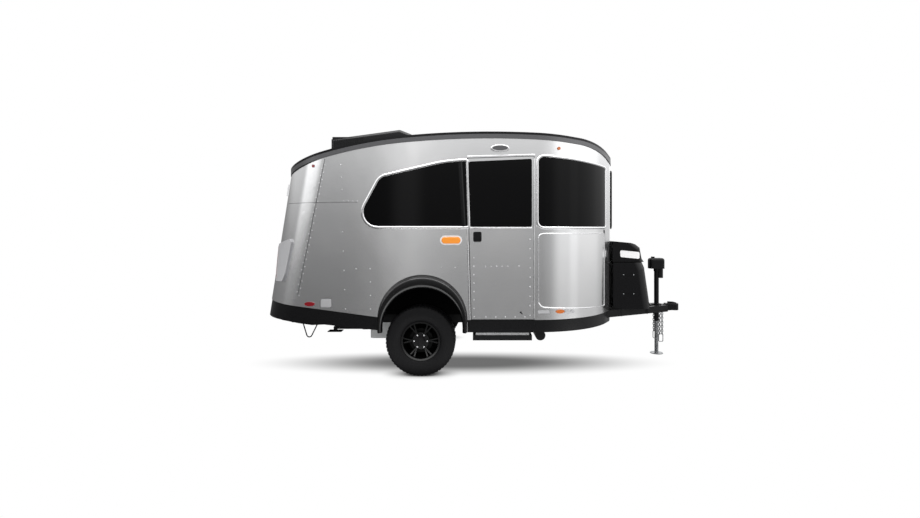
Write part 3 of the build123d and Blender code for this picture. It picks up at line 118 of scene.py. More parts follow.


# %% [markdown]
# ### Brushed aluminium
# The skin is sheet aluminium that was rolled along its length, so its finest scratches run level. Such a grain
# draws each reflection out up and down, which gives the body its broad upright bands of light. An anisotropic
# shader does this: its tangent runs round the body, and a quarter turn sets the stretch upright. A wide, shallow
# bump stands for the sheet's slight waves between rivets, which make the bands cloudy. The same slow noise makes
# the colour a few percent lighter or darker in broad patches, partly the sheet's own uneven tone and partly a
# painted cloudiness of the reflections.


# %% Brushed aluminium
def brushed(name, tone, roughness, wave):
    """Aluminium sheet with a level grain. wave is how deep the sheet's slow waves are."""
    material, tree, shader = new_finish(name)
    shader.inputs["Metallic"].default_value = 1.0
    shader.inputs["Anisotropic"].default_value = 0.6
    shader.inputs["Anisotropic Rotation"].default_value = 0.25
    tangent = tree.nodes.new("ShaderNodeTangent")
    tangent.direction_type = "RADIAL"
    tangent.axis = "Z"
    tree.links.new(tangent.outputs["Tangent"], shader.inputs["Tangent"])
    waves_and_sheen_patches = object_noise(tree, 1.6, (1, 1, 0.7), 2.0)
    # Broad colour patches a few percent lighter or darker: partly the sheet's own tone, partly painted cloudy
    # reflection.
    ramp = tree.nodes.new("ShaderNodeValToRGB")
    ramp.color_ramp.elements[0].position = 0.3
    ramp.color_ramp.elements[0].color = (tone * 0.93, tone * 0.935, tone * 0.945, 1)
    ramp.color_ramp.elements[1].position = 0.7
    ramp.color_ramp.elements[1].color = (tone, tone, tone * 1.005, 1)
    tree.links.new(waves_and_sheen_patches, ramp.inputs["Fac"])
    tree.links.new(ramp.outputs["Color"], shader.inputs["Base Color"])
    grain = object_noise(tree, 8.0, (1, 1, 90), 4.0)
    tree.links.new(spread(tree, grain, roughness * 0.85, roughness * 1.15), shader.inputs["Roughness"])
    fine = bump(tree, shader, grain, 0.0002, 0.08)
    bump(tree, shader, waves_and_sheen_patches, wave, 1.0, fine)
    return material


alu_skin = brushed("alu_skin_brushed", 0.86, 0.22, 0.005)
guard_alu = brushed("guard_brushed", 0.90, 0.17, 0.002)
print("aluminium:", alu_skin.name, guard_alu.name)

# %% [markdown]
# ### Paints, plastics, rubber and glass
# The other finishes are simple. Moulded plastic and powder coat are dark with a fine grain, and rubber is rougher.
# The glass is so dark that it only shows what it mirrors. Galvanised steel has the flaky pattern of zinc crystals,
# which a Voronoi texture draws well.


# %% Plain finishes
black_plastic = plain("black_plastic_moulded", (0.002, 0.002, 0.0025), 0.28, grain=300, depth=0.00003, shine=0.32)
gloss_black = plain("gloss_black_moulded", (0.0015, 0.0015, 0.002), 0.24, grain=200, depth=0.00005, shine=0.30)
flare_black = plain("flare_black_moulded", (0.001, 0.001, 0.0012), 0.20, grain=200, depth=0.00003, shine=0.55)
tub_black = plain("tub_black_matt", (0.0008, 0.0008, 0.0008), 0.75, grain=120, depth=0.0001, shine=0.05)
grey_rail = plain("grey_rail_anodised", (0.13, 0.13, 0.135), 0.34, metallic=0.8, grain=80)
rubber = plain("tyre_rubber_matt", (0.004, 0.004, 0.0045), 0.60, grain=140, depth=0.0003, shine=0.12)
black_alloy = plain("black_alloy_painted", (0.001, 0.001, 0.0012), 0.20, grain=90, shine=0.45)
chassis_black = plain("chassis_powder_coat", (0.003, 0.003, 0.0035), 0.42, grain=220, depth=0.0001, shine=0.2)
drum_iron = plain("drum_cast_iron", (0.0015, 0.0015, 0.0015), 0.70, grain=120, depth=0.0003, shine=0.08)
floor_board = plain("floor_board_black", (0.008, 0.008, 0.008), 0.8, grain=40, shine=0.2)
step_silver = plain("step_anodised", (0.62, 0.62, 0.63), 0.30, metallic=0.9, grain=60)
polished_trim = plain("trim_polished", (0.80, 0.80, 0.81), 0.26, metallic=1.0, grain=30)
bottle_white = plain("bottle_white_paint", (0.80, 0.80, 0.79), 0.35, grain=50)
plate_white = plain("plate_white_blank", (0.72, 0.72, 0.72), 0.4, grain=50)
lamp_housing = plain("lamp_housing_silver", (0.36, 0.36, 0.37), 0.4, grain=50, shine=0.4)
fitting_silver = plain("fitting_satin", (0.40, 0.40, 0.41), 0.34, metallic=0.35, grain=60)
tank_grey = plain("tank_plastic_grey", (0.50, 0.51, 0.51), 0.55, grain=60)
lamp_red = plain("lamp_red_lens", (0.17, 0.003, 0.008), 0.12, grain=60, coat=0.6)
lamp_amber = plain("lamp_amber_lens", (0.72, 0.24, 0.022), 0.14, grain=60, coat=0.6)
marker_amber = plain("marker_amber_lens", (0.40, 0.10, 0.012), 0.14, grain=60, coat=0.6)
nut_chrome = plain("nut_chrome", (0.50, 0.50, 0.51), 0.25, metallic=1.0, grain=60)
# Painted shadow for the seams: a near-black strip where the lapped sheet edges cast shade.
seam_painted_shadow = plain("seam_shadow", (0.03, 0.03, 0.032), 0.6, grain=60, shine=0.2)
rivet_alu = plain("rivet_aluminium", (0.55, 0.55, 0.56), 0.34, metallic=1.0, grain=60)

# %% [markdown]
# ### Fittings, glass and zinc
# Three finishes need more than one colour. The fittings share a CAD node, but the round of the porch lamp is
# polished and the covers near the sill are duller, so their tone changes with the height.

# %% Fittings: polished above, duller near the sill
sill_fittings_top, lamp_round_low = 1.0, 1.1
tree = fitting_silver.node_tree
shader = next(node for node in tree.nodes if node.type == "BSDF_PRINCIPLED")
place = tree.nodes.new("ShaderNodeTexCoord")
height = tree.nodes.new("ShaderNodeSeparateXYZ")
polish = tree.nodes.new("ShaderNodeMapRange")
polish.inputs["From Min"].default_value = sill_fittings_top
polish.inputs["From Max"].default_value = lamp_round_low
ramp = tree.nodes.new("ShaderNodeValToRGB")
ramp.color_ramp.elements[0].color = (0.40, 0.40, 0.41, 1)
ramp.color_ramp.elements[1].color = (0.80, 0.80, 0.81, 1)
tree.links.new(place.outputs["Object"], height.inputs["Vector"])
tree.links.new(height.outputs["Z"], polish.inputs["Value"])
tree.links.new(polish.outputs["Result"], ramp.inputs["Fac"])
tree.links.new(ramp.outputs["Color"], shader.inputs["Base Color"])

# %% Tinted glass
tinted_glass, tree, shader = new_finish("tinted_glass_dark")
shader.inputs["Base Color"].default_value = (0.001, 0.001, 0.0012, 1)
shader.inputs["IOR"].default_value = 1.5
shader.inputs["Specular IOR Level"].default_value = 0.15
haze = object_noise(tree, 0.9, (1, 1, 1), 1.0)
tree.links.new(spread(tree, haze, 0.03, 0.06), shader.inputs["Roughness"])

# %% Galvanised steel
galvanised, tree, shader = new_finish("galvanised_steel")
shader.inputs["Metallic"].default_value = 0.9
place = tree.nodes.new("ShaderNodeTexCoord")
cells = tree.nodes.new("ShaderNodeTexVoronoi")
cells.inputs["Scale"].default_value = 70
flakes = tree.nodes.new("ShaderNodeValToRGB")
flakes.color_ramp.elements[0].color = (0.15, 0.155, 0.16, 1)
flakes.color_ramp.elements[1].color = (0.40, 0.41, 0.42, 1)
tree.links.new(place.outputs["Object"], cells.inputs["Vector"])
tree.links.new(cells.outputs["Color"], flakes.inputs["Fac"])
tree.links.new(flakes.outputs["Color"], shader.inputs["Base Color"])
tree.links.new(spread(tree, object_noise(tree, 50), 0.35, 0.5), shader.inputs["Roughness"])

# %% [markdown]
# ### Each CAD node gets its finish
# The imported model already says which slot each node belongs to. The slots keep their names in the record, and
# here each one is exchanged for the finish made above. The meshes themselves are left alone.


# %% Give the finishes to the CAD nodes
finish_of_slot = {
    "alu_skin": alu_skin, "polished_trim": guard_alu, "grey_rail": grey_rail, "black_plastic": black_plastic,
    "gloss_black": gloss_black, "tinted_glass": tinted_glass, "tyre_rubber": rubber, "black_alloy": black_alloy,
    "chassis_black": chassis_black, "drum_iron": drum_iron, "floor_board": floor_board, "step_silver": step_silver,
    "galvanised": galvanised, "bottle_white": bottle_white, "lamp_red": lamp_red, "lamp_amber": lamp_amber,
    "tank_grey": tank_grey, "lamp_housing": lamp_housing, "plate_white": plate_white,
    "fitting_silver": fitting_silver,
}
finish_of_node = {"wheel_tubs": tub_black, "marker_lamps": marker_amber}
for name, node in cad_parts.items():
    for place in node.material_slots:
        old = place.material.name.split(".")[0]
        place.material = finish_of_node.get(name, finish_of_slot[old])
print("finishes given to", len(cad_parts), "nodes")

# %% [markdown]
# ## What is too small for the CAD model
# Rivets, window trims, panel seams and the tread of the tyres are added here. They all follow the body, so the
# body's plan is needed once more: flat sides, a long bend towards the nose, and leaning round corners at the tail.

# %% The body's plan
half_width = 1.020
bend_start, bend_radius = 0.490, 1.0093
tail_x = lambda z: -2.402 + 0.140 * (z - 0.6)
seam_x = lambda z: -2.028 + 0.199 * (z - 0.6)


def side_surface(x, z, proud=0.0):
    """Point on the right side at x and z, and the outward direction there."""
    if x > bend_start:
        turn = math.asin(min(1.0, (x - bend_start) / bend_radius))
        normal = Vector((math.sin(turn), -math.cos(turn), 0))
        y = -(half_width - bend_radius + bend_radius * math.cos(turn))
        return Vector((x, y, z)) + normal * proud, normal
    if x < seam_x(z):
        radius = seam_x(z) - tail_x(z)
        turn = math.asin(min(1.0, (seam_x(z) - x) / radius))
        normal = Vector((-math.sin(turn), -math.cos(turn), 0))
        y = -(half_width - radius + radius * math.cos(turn))
        return Vector((x, y, z)) + normal * proud, normal
    return Vector((x, -half_width - proud, z)), Vector((0, -1, 0))


def add_piece(name, points, faces, finish, body, slot, smooth=True):
    """A mesh that rides on a body and has the given finish. slot is not used."""
    mesh = bpy.data.meshes.new(name)
    mesh.from_pydata([tuple(p) for p in points], [], faces)
    mesh.validate()
    mesh.polygons.foreach_set("use_smooth", [smooth] * len(mesh.polygons))
    mesh.materials.append(finish)
    piece = bpy.data.objects.new(name, mesh)
    scene.collection.objects.link(piece)
    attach(piece, body)
    return piece


def mirrored(points, faces):
    """The same mesh on the left side as well."""
    count = len(points)
    other = [Vector((p[0], -p[1], p[2])) for p in points]
    return points + other, faces + [tuple(i + count for i in reversed(f)) for f in faces]


print("side at the bend:", side_surface(1.0, 1.0)[0])

# %% [markdown]
# ### Rivets
# The skin is held by rows of rivets: along the tail seams, over the frames behind the panels, and at the edges
# of the door. Each is a small dome. All rivets of one body are one mesh, since hundreds of objects would be slow.


# %% Rivets
def dome(points, faces, centre, normal, radius, height, sides=8):
    """Adds one rivet head to a list of points and faces."""
    across = Vector((0, 0, 1)).cross(normal).normalized()
    up = normal.cross(across)
    start = len(points)
    for ring, lift in ((1.0, 0.0), (0.72, 0.62)):
        for k in range(sides):
            a = 2 * math.pi * k / sides
            spoke = across * math.cos(a) + up * math.sin(a)
            points.append(centre + spoke * radius * ring + normal * height * lift)
    points.append(centre + normal * height)
    for k in range(sides):
        n = (k + 1) % sides
        faces.append((start + k, start + n, start + sides + n, start + sides + k))
        faces.append((start + sides + k, start + sides + n, start + 2 * sides))


def row(start, end, count):
    """Evenly spaced (x, z) places from start to end."""
    shares = [k / (count - 1) for k in range(count)]
    return [(start[0] + (end[0] - start[0]) * k, start[1] + (end[1] - start[1]) * k) for k in shares]


rivet_radius, rivet_height = 0.0062, 0.0028
body_places = [(seam_x(z) + 0.012, z) for z in np.arange(0.86, 2.22, 0.075)]
body_places += [(seam_x(z) - 0.014, z) for z in np.arange(0.90, 2.20, 0.075)]
body_places += row((-1.531, 2.215), (-1.518, 1.955), 3) + row((-1.513, 1.52), (-1.483, 0.72), 5)
body_places += [(-1.372, 1.137), (-1.227, 1.137), (-1.222, 1.002), (-1.222, 0.860), (-1.222, 0.720)]
body_places += row((-0.490, 1.152), (-0.345, 1.152), 2) + row((-1.50, 1.838), (-1.36, 1.838), 4)
body_places += row((0.497, 2.27), (0.497, 1.58), 15)
door_places = row((-0.150, 1.250), (-0.148, 0.640), 8) + row((0.433, 1.442), (0.433, 0.655), 9)
door_places += [(-0.030 + 0.058 * k, 1.163) for k in range(5)] + [(0.318, 1.163)]
door_places += row((-0.025, 0.638), (0.380, 0.638), 5)
points, faces = [], []
for x, z in body_places:
    proud = 0.003 if 0.483 < x < 0.512 else 0.0
    dome(points, faces, *side_surface(x, z, proud), rivet_radius, rivet_height)
add_piece("body_rivets", *mirrored(points, faces), rivet_alu, "caravan_body", "alu_skin")
points, faces = [], []
for x, z in door_places:
    dome(points, faces, *side_surface(x, z), rivet_radius, rivet_height)
add_piece("door_rivets", points, faces, rivet_alu, "side_door", "alu_skin")
print("rivets:", 2 * len(body_places) + len(door_places))

# %% [markdown]
# ### Trims round the glass
# Every window sits in a slim, bright aluminium frame. The frame is a strip with a low rounded section that runs
# along the window's outline. The outline is a short list of corners, each with its radius, and every point of it
# is laid on the side of the body, so that the front frames follow the bend.


# %% Trims
def rounded(corners, steps=8):
    """Points along a closed outline with rounded corners. corners: (x, z, radius)."""
    line = []
    for k, (x, z, radius) in enumerate(corners):
        here = Vector((x, z))
        before = (Vector(corners[k - 1][:2]) - here).normalized()
        after = (Vector(corners[(k + 1) % len(corners)][:2]) - here).normalized()
        half = before.angle(after) / 2
        reach = radius / math.tan(half)
        centre = here + (before + after).normalized() * radius / math.sin(half)
        first, last = here + before * reach - centre, here + after * reach - centre
        sweep = first.angle_signed(last)
        for n in range(steps + 1):
            a = -sweep * n / steps
            line.append(centre + Vector((first.x * math.cos(a) - first.y * math.sin(a),
                                         first.x * math.sin(a) + first.y * math.cos(a))))
    return line


def even(line, spacing=0.03):
    """The same closed line with points no further apart than spacing."""
    made = []
    for k, p in enumerate(line):
        q = line[(k + 1) % len(line)]
        parts = max(1, math.ceil((q - p).length / spacing))
        made += [p + (q - p) * n / parts for n in range(parts)]
    return made


def strip(line, width, height, inside, closed=True, lift=0.0):
    """Low rounded strip along an (x, z) line on the side. inside is how far it laps over the outline."""
    section = [(-inside, 0.0), (-inside + 0.003, height * 0.8), (width / 2 - inside, height),
               (width - inside - 0.003, height * 0.8), (width - inside, 0.0)]
    points, faces = [], []
    count = len(line)
    area = sum(line[k - 1].x * line[k].y - line[k].x * line[k - 1].y for k in range(count)) if closed else -1.0
    for k, p in enumerate(line):
        before = line[k - 1] if closed or k else p
        after = line[(k + 1) % count] if closed or k < count - 1 else p
        along = (after - before).normalized()
        out = Vector((along.y, -along.x)) * (1 if area > 0 else -1)
        for u, h in section:
            q = p + out * u
            points.append(side_surface(q.x, q.y, h + lift)[0])
    for k in range(count if closed else count - 1):
        for n in range(4):
            a, b = k * 5 + n, ((k + 1) % count) * 5 + n
            faces.append((a, b, b + 1, a + 1) if area > 0 else (a, a + 1, b + 1, b))
    return points, faces


side_window = [(-0.229, 2.258, 0.012), (-0.456, 2.242, 1.5), (-1.124, 2.087, 0.125), (-1.400, 1.576, 0.151),
               (-0.211, 1.575, 0.012)]
corner_window = [(0.518, 2.307, 0.064), (0.867, 2.282, 1.5), (1.332, 2.236, 0.020), (1.332, 1.572, 0.020),
                 (0.518, 1.571, 0.062)]
guard = [(0.520, 1.504, 0.055), (1.313, 1.501, 0.012), (1.313, 0.690, 0.012), (0.520, 0.740, 0.080)]
for name, corners, width, inside in (("side_window_trim", side_window, 0.030, 0.005),
                                     ("corner_window_trim", corner_window, 0.028, 0.005),
                                     ("guard_trim", guard, 0.012, 0.006)):
    add_piece(name, *mirrored(*strip(even(rounded(corners)), width, 0.009, inside)), polished_trim,
              "caravan_body", "polished_trim")

# %% [markdown]
# ### Straight strips and seams
# Bright strips run beside the door, above it and under its window. Between the panes stands a black post, in two
# halves: one on the body and one on the door. The sheets of the skin lap at seams, which show as thin dark strips:
# painted shadow of the lapped edges.


# %% Strips and seams
def straight(name, start, end, width, height, finish, body, slot, both=True, lift=0.0):
    """Strip from one (x, z) place to another. Its outline lies to the right of its direction."""
    parts = max(2, math.ceil((Vector(end) - Vector(start)).length / 0.02))
    line = [Vector(start).lerp(Vector(end), n / parts) for n in range(parts + 1)]
    made = strip(line, width, height, 0.0, closed=False, lift=lift)
    return add_piece(name, *(mirrored(*made) if both else made), finish, body, slot)


straight("door_post_strip", (-0.186, 0.615), (-0.211, 1.555), 0.014, 0.006, polished_trim, "caravan_body",
         "polished_trim", both=False)
straight("door_head_strip", (-0.217, 2.299), (0.482, 2.318), 0.011, 0.006, polished_trim, "caravan_body",
         "polished_trim", both=False)
straight("door_window_sill", (-0.186, 1.557), (0.452, 1.557), 0.014, 0.007, polished_trim, "side_door",
         "polished_trim", both=False)
straight("window_post", (-0.232, 1.580), (-0.270, 2.246), 0.045, 0.008, gloss_black, "caravan_body",
         "gloss_black", lift=0.001)
straight("door_pane_edge", (-0.186, 1.580), (-0.199, 2.250), 0.018, 0.008, gloss_black, "side_door",
         "gloss_black", both=False)
# Seams: thin dark strips of painted shadow along the lapped sheet edges.
straight("waist_seam", (-2.16, 1.818), (-1.36, 1.828), 0.004, 0.0006, seam_painted_shadow, "caravan_body", "alu_skin")
straight("tail_seam", (seam_x(0.86), 0.86), (seam_x(2.28), 2.28), 0.005, 0.0006, seam_painted_shadow, "caravan_body",
         "alu_skin")
# A black strip stands upright along the front edge of the side.
straight("front_edge_black_strip", (1.330, 0.66), (1.330, 1.54), 0.022, 0.004, gloss_black, "caravan_body",
         "gloss_black")

# %% [markdown]
# ### Oval plate
# The maker's oval over the door stays blank: a polished rim round a dark, empty middle.

# %% Oval plate
points, faces = [], []
plate_x, plate_z, sides = 0.122, 2.388, 40
rings = ((0.098, 0.039, 0.006), (0.092, 0.034, 0.014), (0.080, 0.025, 0.0105))
for half_length, half_height, lift in rings:
    for k in range(sides):
        a = 2 * math.pi * k / sides
        x, z = plate_x + half_length * math.cos(a), plate_z + half_height * math.sin(a)
        points.append(side_surface(x, z, lift)[0])
for ring in range(len(rings) - 1):
    for k in range(sides):
        n = (k + 1) % sides
        faces.append((ring * sides + k, ring * sides + n, (ring + 1) * sides + n, (ring + 1) * sides + k))
add_piece("oval_rim", points, faces, polished_trim, "caravan_body", "polished_trim")
middle_lift = Vector((0, -0.0004, 0))
middle = [p + middle_lift for p in points[2 * sides:]]
add_piece("oval_middle", middle, [tuple(range(sides))], grey_rail, "caravan_body", "grey_rail", False)
print("oval plate:", 2 * half_length, "by", 2 * half_height)

# %% [markdown]
# ### Latches of the gas locker
# Two small black pulls sit on each side of the locker. Each is a bar with a galvanised screw at either end. At
# this size a box and two domes are enough.


# %% Latches
def bar(points, faces, low, high):
    """Adds a box to a list of points and faces."""
    start = len(points)
    for x in (low[0], high[0]):
        for y in (low[1], high[1]):
            for z in (low[2], high[2]):
                points.append(Vector((x, y, z)))
    for quad in ((0, 1, 3, 2), (4, 6, 7, 5), (0, 4, 5, 1), (2, 3, 7, 6), (0, 2, 6, 4), (1, 5, 7, 3)):
        faces.append(tuple(start + n for n in quad))


locker_y = 0.360
bars, bar_faces, screws, screw_faces = [], [], [], []
for z in (1.010, 0.786):
    bar(bars, bar_faces, (1.625, -locker_y - 0.010, z - 0.007), (1.712, -locker_y, z + 0.007))
    for x in (1.610, 1.728):
        dome(screws, screw_faces, Vector((x, -locker_y, z)), Vector((0, -1, 0)), 0.007, 0.004)
add_piece("locker_pulls", *mirrored(bars, bar_faces), gloss_black, "caravan_body", "gloss_black", False)
add_piece("locker_screws", *mirrored(screws, screw_faces), galvanised, "caravan_body", "step_silver")
print("latches:", len(bars) // 4)

# %% [markdown]
# ### Fender flares
# The moulded flare over each wheel opening has a flange flat on the skin along its outer edge, a step, and a broad
# roll down to its lip. It is built as a band: two lines run round the opening, one outside and one at the lip, and
# the same section is drawn between them at every step. The rolled lip catches the light of the floor.


# %% Flares
def opening_line(middle_z, radius, low=0.4775, middle_x=-0.684, legs=6, turns=72):
    """Points (x, z) up one side of the wheel opening, over it and down the other side."""
    up = [(middle_x - radius, low + (middle_z - low) * n / legs) for n in range(legs)]
    angles = [math.pi * n / turns for n in range(turns + 1)]
    over = [(middle_x - radius * math.cos(a), middle_z + radius * math.sin(a)) for a in angles]
    return up + over + [(2 * middle_x - x, z) for x, z in reversed(up)]


# columns: share of the way from the outer edge to the lip, height over the skin
flare_section = [(0.0, -0.001), (0.0, 0.005), (0.02, 0.0060), (0.14, 0.0065), (0.155, 0.0085), (0.19, 0.0300),
                 (0.215, 0.0420), (0.245, 0.0470), (0.28, 0.0490), (0.34, 0.0498), (0.45, 0.0500), (0.54, 0.0495),
                 (0.62, 0.0480), (0.70, 0.0450), (0.77, 0.0408), (0.83, 0.0358), (0.89, 0.0292), (0.94, 0.0220),
                 (0.98, 0.0140), (1.0, 0.0060), (1.0, -0.012)]
points, faces = [], []
outer_z, outer_radius, lip_z, lip_radius = 0.610, 0.467, 0.520, 0.416
outer_line, lip_line = opening_line(outer_z, outer_radius), opening_line(lip_z, lip_radius)
for (x0, z0), (x1, z1) in zip(outer_line, lip_line):
    for share, height in flare_section:
        points.append(Vector((x0 + (x1 - x0) * share, -half_width - height, z0 + (z1 - z0) * share)))
width = len(flare_section)
for k in range(len(outer_line) - 1):
    for n in range(width - 1):
        a, b = k * width + n, (k + 1) * width + n
        faces.append((a, a + 1, b + 1, b))
flares = add_piece("fender_flares_moulded", *mirrored(points, faces), flare_black, "caravan_body",
                   "black_plastic")
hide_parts("fender_flares")
print("flare points:", len(flares.data.vertices))

# %% [markdown]
# ### Brake shields
# Behind each brake drum a pressed steel shield closes the wheel, so that nothing shows between the spokes. It is
# a turned plate with a raised ring, fixed to the axle.


# %% Brake shields
def turned(points, faces, centre, side, section, rounds=64):
    """Adds a surface turned about the wheel's axle. section: distance out from centre, radius."""
    start = len(points)
    for k in range(rounds):
        a = 2 * math.pi * k / rounds
        points += [centre + Vector((r * math.sin(a), side * u, r * math.cos(a))) for u, r in section]
    width = len(section)
    for k in range(rounds):
        for n in range(width - 1):
            a, b = start + k * width + n, start + (k + 1) % rounds * width + n
            faces.append((a, a + 1, b + 1, b))


wheel_y, axle = 0.8525, (-0.712, 0.3667)
shield_section = [(-0.094, 0.046), (-0.090, 0.046), (-0.090, 0.118), (-0.0885, 0.124), (-0.0885, 0.146),
                  (-0.090, 0.152), (-0.090, 0.181), (-0.094, 0.183), (-0.094, 0.046)]
for side, name in ((-1, "right"), (1, "left")):
    points, faces = [], []
    turned(points, faces, Vector((axle[0], side * wheel_y, axle[1])), side, shield_section)
    add_piece("brake_shield_" + name, points, faces, drum_iron, "caravan_body", "drum_iron", False)
print("brake shield points:", len(points))

# %% [markdown]
# ### Tyres
# The CAD tyres are plain, turned shapes. A road tyre has blocks and grooves, so each tyre is made again here as
# a grid: one direction goes round the wheel and the other across its section. Where the pattern has a groove,
# the grid's points lie a little lower. The new tyre keeps the CAD tyre's form and stands in for it.


# %% Tyres with tread
tyre_radius, tread_half, groove_depth = 0.3667, 0.0895, 0.005


def groove(across, turn):
    """How deep the tread is cut at a place: across from -1 to 1, turn counted in blocks."""
    wave = 0.035 * math.sin(math.pi * 2 * turn)
    if abs(across - 0.36 - wave) < 0.055 or abs(across + 0.36 - wave) < 0.055 or abs(across - wave) < 0.04:
        return 1.0
    share = turn % 1.0
    if abs(across) > 0.42:
        return 1.0 if share < 0.30 else 0.0
    return 0.8 if 0.45 < share + across * 0.5 < 0.62 else 0.0


def tyre_grid(centre, side, blocks=56, per_block=6):
    """Points and faces of a tyre with its tread, standing upright at centre."""
    outer = [(0.0757, 0.196), (0.0757, 0.208), (0.086, 0.214), (0.100, 0.231), (0.1085, 0.250), (0.1100, 0.2515),
             (0.1135, 0.262), (0.1160, 0.275), (0.1175, 0.2887), (0.1172, 0.305), (0.1163, 0.322),
             (0.1140, 0.338), (0.1095, 0.3507), (0.1020, 0.3605)]
    tread = [(tread_half * (1 - n / 15), tyre_radius) for n in range(16)]
    right = outer + tread
    section = right + [(-u, r) for u, r in reversed(right[:-1])]
    points, faces = [], []
    rounds = blocks * per_block
    for k in range(rounds):
        angle = 2 * math.pi * k / rounds
        for u, r in section:
            if r > 0.35:
                edge = min(1.0, (r - 0.335) / 0.02)
                r -= groove_depth * groove(max(-1, min(1, u / tread_half)), k / per_block) * edge
            points.append(centre + Vector((r * math.sin(angle), side * u, r * math.cos(angle))))
    width = len(section)
    for k in range(rounds):
        for n in range(width - 1):
            a, b = k * width + n, ((k + 1) % rounds) * width + n
            faces.append((a, a + 1, b + 1, b) if side > 0 else (a, b, b + 1, a + 1))
    return points, faces


nut_count, nut_circle, nut_face_y = 6, 0.06985, 0.9340
for side, name in ((-1, "right"), (1, "left")):
    centre = Vector((axle[0], side * wheel_y, axle[1]))
    tyre = add_piece("tyre_tread_" + name, *tyre_grid(centre, side), rubber, "wheel_" + name, "tyre_rubber", False)
    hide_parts("tyre_" + name)
    points, faces = [], []
    for k in range(nut_count):
        a = math.radians(360 / nut_count * k)
        place = Vector((axle[0] + nut_circle * math.cos(a), side * nut_face_y, axle[1] + nut_circle * math.sin(a)))
        dome(points, faces, place, Vector((0, side, 0)), 0.009, 0.003)
    add_piece("wheel_nut_caps_" + name, points, faces, nut_chrome, "wheel_" + name, "step_silver")
print("tyre points:", len(tyre.data.vertices))

# %% [markdown]
# ## The studio
# The camera stands level, six metres from the middle of the trailer and straight beside it, a little over a metre
# and a half up. The background is white. What the metal mirrors is another matter: a few soft boxes stand round
# the caravan, each with a direction, a width and a strength, and the bands of light on the skin are their images.


# %% Camera
camera_data = bpy.data.cameras.new("studio_camera")
camera_data.lens = 18.78
camera_data.sensor_width = 36.0
camera_data.shift_x = -0.0163
camera_data.shift_y = -0.0334
camera = bpy.data.objects.new("studio_camera", camera_data)
camera.location = (-0.138, -6.0, 1.558)
camera.rotation_euler = (math.radians(90), 0, 0)
scene.collection.objects.link(camera)
scene.camera = camera
scene.view_settings.view_transform = "Standard"

# %% Soft boxes in the world, seen by everything but the camera
# columns: azimuth (degrees from straight in front, + to the coupler), half width, soft edge, strength,
# middle and half width of its soft low edge
soft_boxes = [
    (-46, 13, 12, 1.00, 0.16, 0.17),
    (-8.1, 0.6, 1.8, 0.52, -0.8, 0.05),
    (8, 13, 8, 0.17, -0.8, 0.05),
    (60, 3, 6, 0.16, -0.8, 0.05),
    (71, 29, 25, 0.72, -0.8, 0.05),
    (135, 10, 20, 0.50, -0.8, 0.05),
    (163, 12, 14, 0.60, -0.8, 0.05),
]
base_light, ceiling_light = 0.235, 0.55
world = bpy.data.worlds.new("studio_world")
scene.world = world
world.use_nodes = True
tree = world.node_tree
tree.nodes.clear()


def math_node(operation, a, b=None):
    """One Math node on links or plain numbers."""
    node = tree.nodes.new("ShaderNodeMath")
    node.operation = operation
    for socket, value in zip(node.inputs, (a, b)):
        if value is None:
            continue
        if isinstance(value, (int, float)):
            socket.default_value = value
        else:
            tree.links.new(value, socket)
    return node.outputs["Value"]


def step_node(value, zero_at, one_at):
    """Smooth step from 0 to 1 between two values."""
    node = tree.nodes.new("ShaderNodeMapRange")
    node.interpolation_type = "SMOOTHSTEP"
    node.inputs["From Min"].default_value = zero_at
    node.inputs["From Max"].default_value = one_at
    tree.links.new(value, node.inputs["Value"])
    return node.outputs["Result"]


direction = tree.nodes.new("ShaderNodeTexCoord")
axes = tree.nodes.new("ShaderNodeSeparateXYZ")
tree.links.new(direction.outputs["Generated"], axes.inputs["Vector"])
azimuth = math_node("ARCTAN2", axes.outputs["X"], math_node("MULTIPLY", axes.outputs["Y"], -1.0))
light = base_light
for centre, half, soft, strength, low, low_soft in soft_boxes:
    away = math_node("SUBTRACT", azimuth, math.radians(centre))
    away = math_node("ABSOLUTE", math_node("WRAP", away, -math.pi))
    across = step_node(away, math.radians(half + soft), math.radians(half))
    above = step_node(axes.outputs["Z"], low - low_soft, low + low_soft)
    light = math_node("ADD", light, math_node("MULTIPLY", math_node("MULTIPLY", across, above), strength))
fade = tree.nodes.new("ShaderNodeMapRange")
fade.inputs["From Min"].default_value = -0.16
fade.inputs["From Max"].default_value = 0.12
fade.inputs["To Min"].default_value = 0.54
fade.inputs["To Max"].default_value = 1.2
tree.links.new(axes.outputs["Z"], fade.inputs["Value"])
light = math_node("MULTIPLY", light, fade.outputs["Result"])
ceiling = math_node("MULTIPLY", step_node(axes.outputs["Z"], 0.10, 0.24), ceiling_light)
light = math_node("ADD", light, ceiling)
for node in tree.nodes:
    if node.type == "MATH" and node.operation == "WRAP":
        node.inputs[1].default_value = math.pi
        node.inputs[2].default_value = -math.pi
path = tree.nodes.new("ShaderNodeLightPath")
choice = tree.nodes.new("ShaderNodeMix")
tree.links.new(path.outputs["Is Camera Ray"], choice.inputs["Factor"])
tree.links.new(light, choice.inputs["A"])
choice.inputs["B"].default_value = 1.0
background = tree.nodes.new("ShaderNodeBackground")
world_out = tree.nodes.new("ShaderNodeOutputWorld")
tree.links.new(choice.outputs["Result"], background.inputs["Color"])
tree.links.new(background.outputs["Background"], world_out.inputs["Surface"])
print("soft boxes:", len(soft_boxes))

# %% [markdown]
# ### Light from above
# A wide soft box hangs above the caravan, a little towards the door's side. It gives the roof and the upper edges
# an even light, as the panels over a studio floor do.

# %% Overhead light
lamp_data = bpy.data.lights.new("overhead_soft_box", "AREA")
lamp_data.shape = "RECTANGLE"
lamp_data.size = 6.0
lamp_data.size_y = 3.0
lamp_data.energy = 260
lamp = bpy.data.objects.new("overhead_soft_box", lamp_data)
lamp.location = (0.2, -1.6, 5.2)
lamp.rotation_euler = (math.radians(-12), 0, 0)
scene.collection.objects.link(lamp)

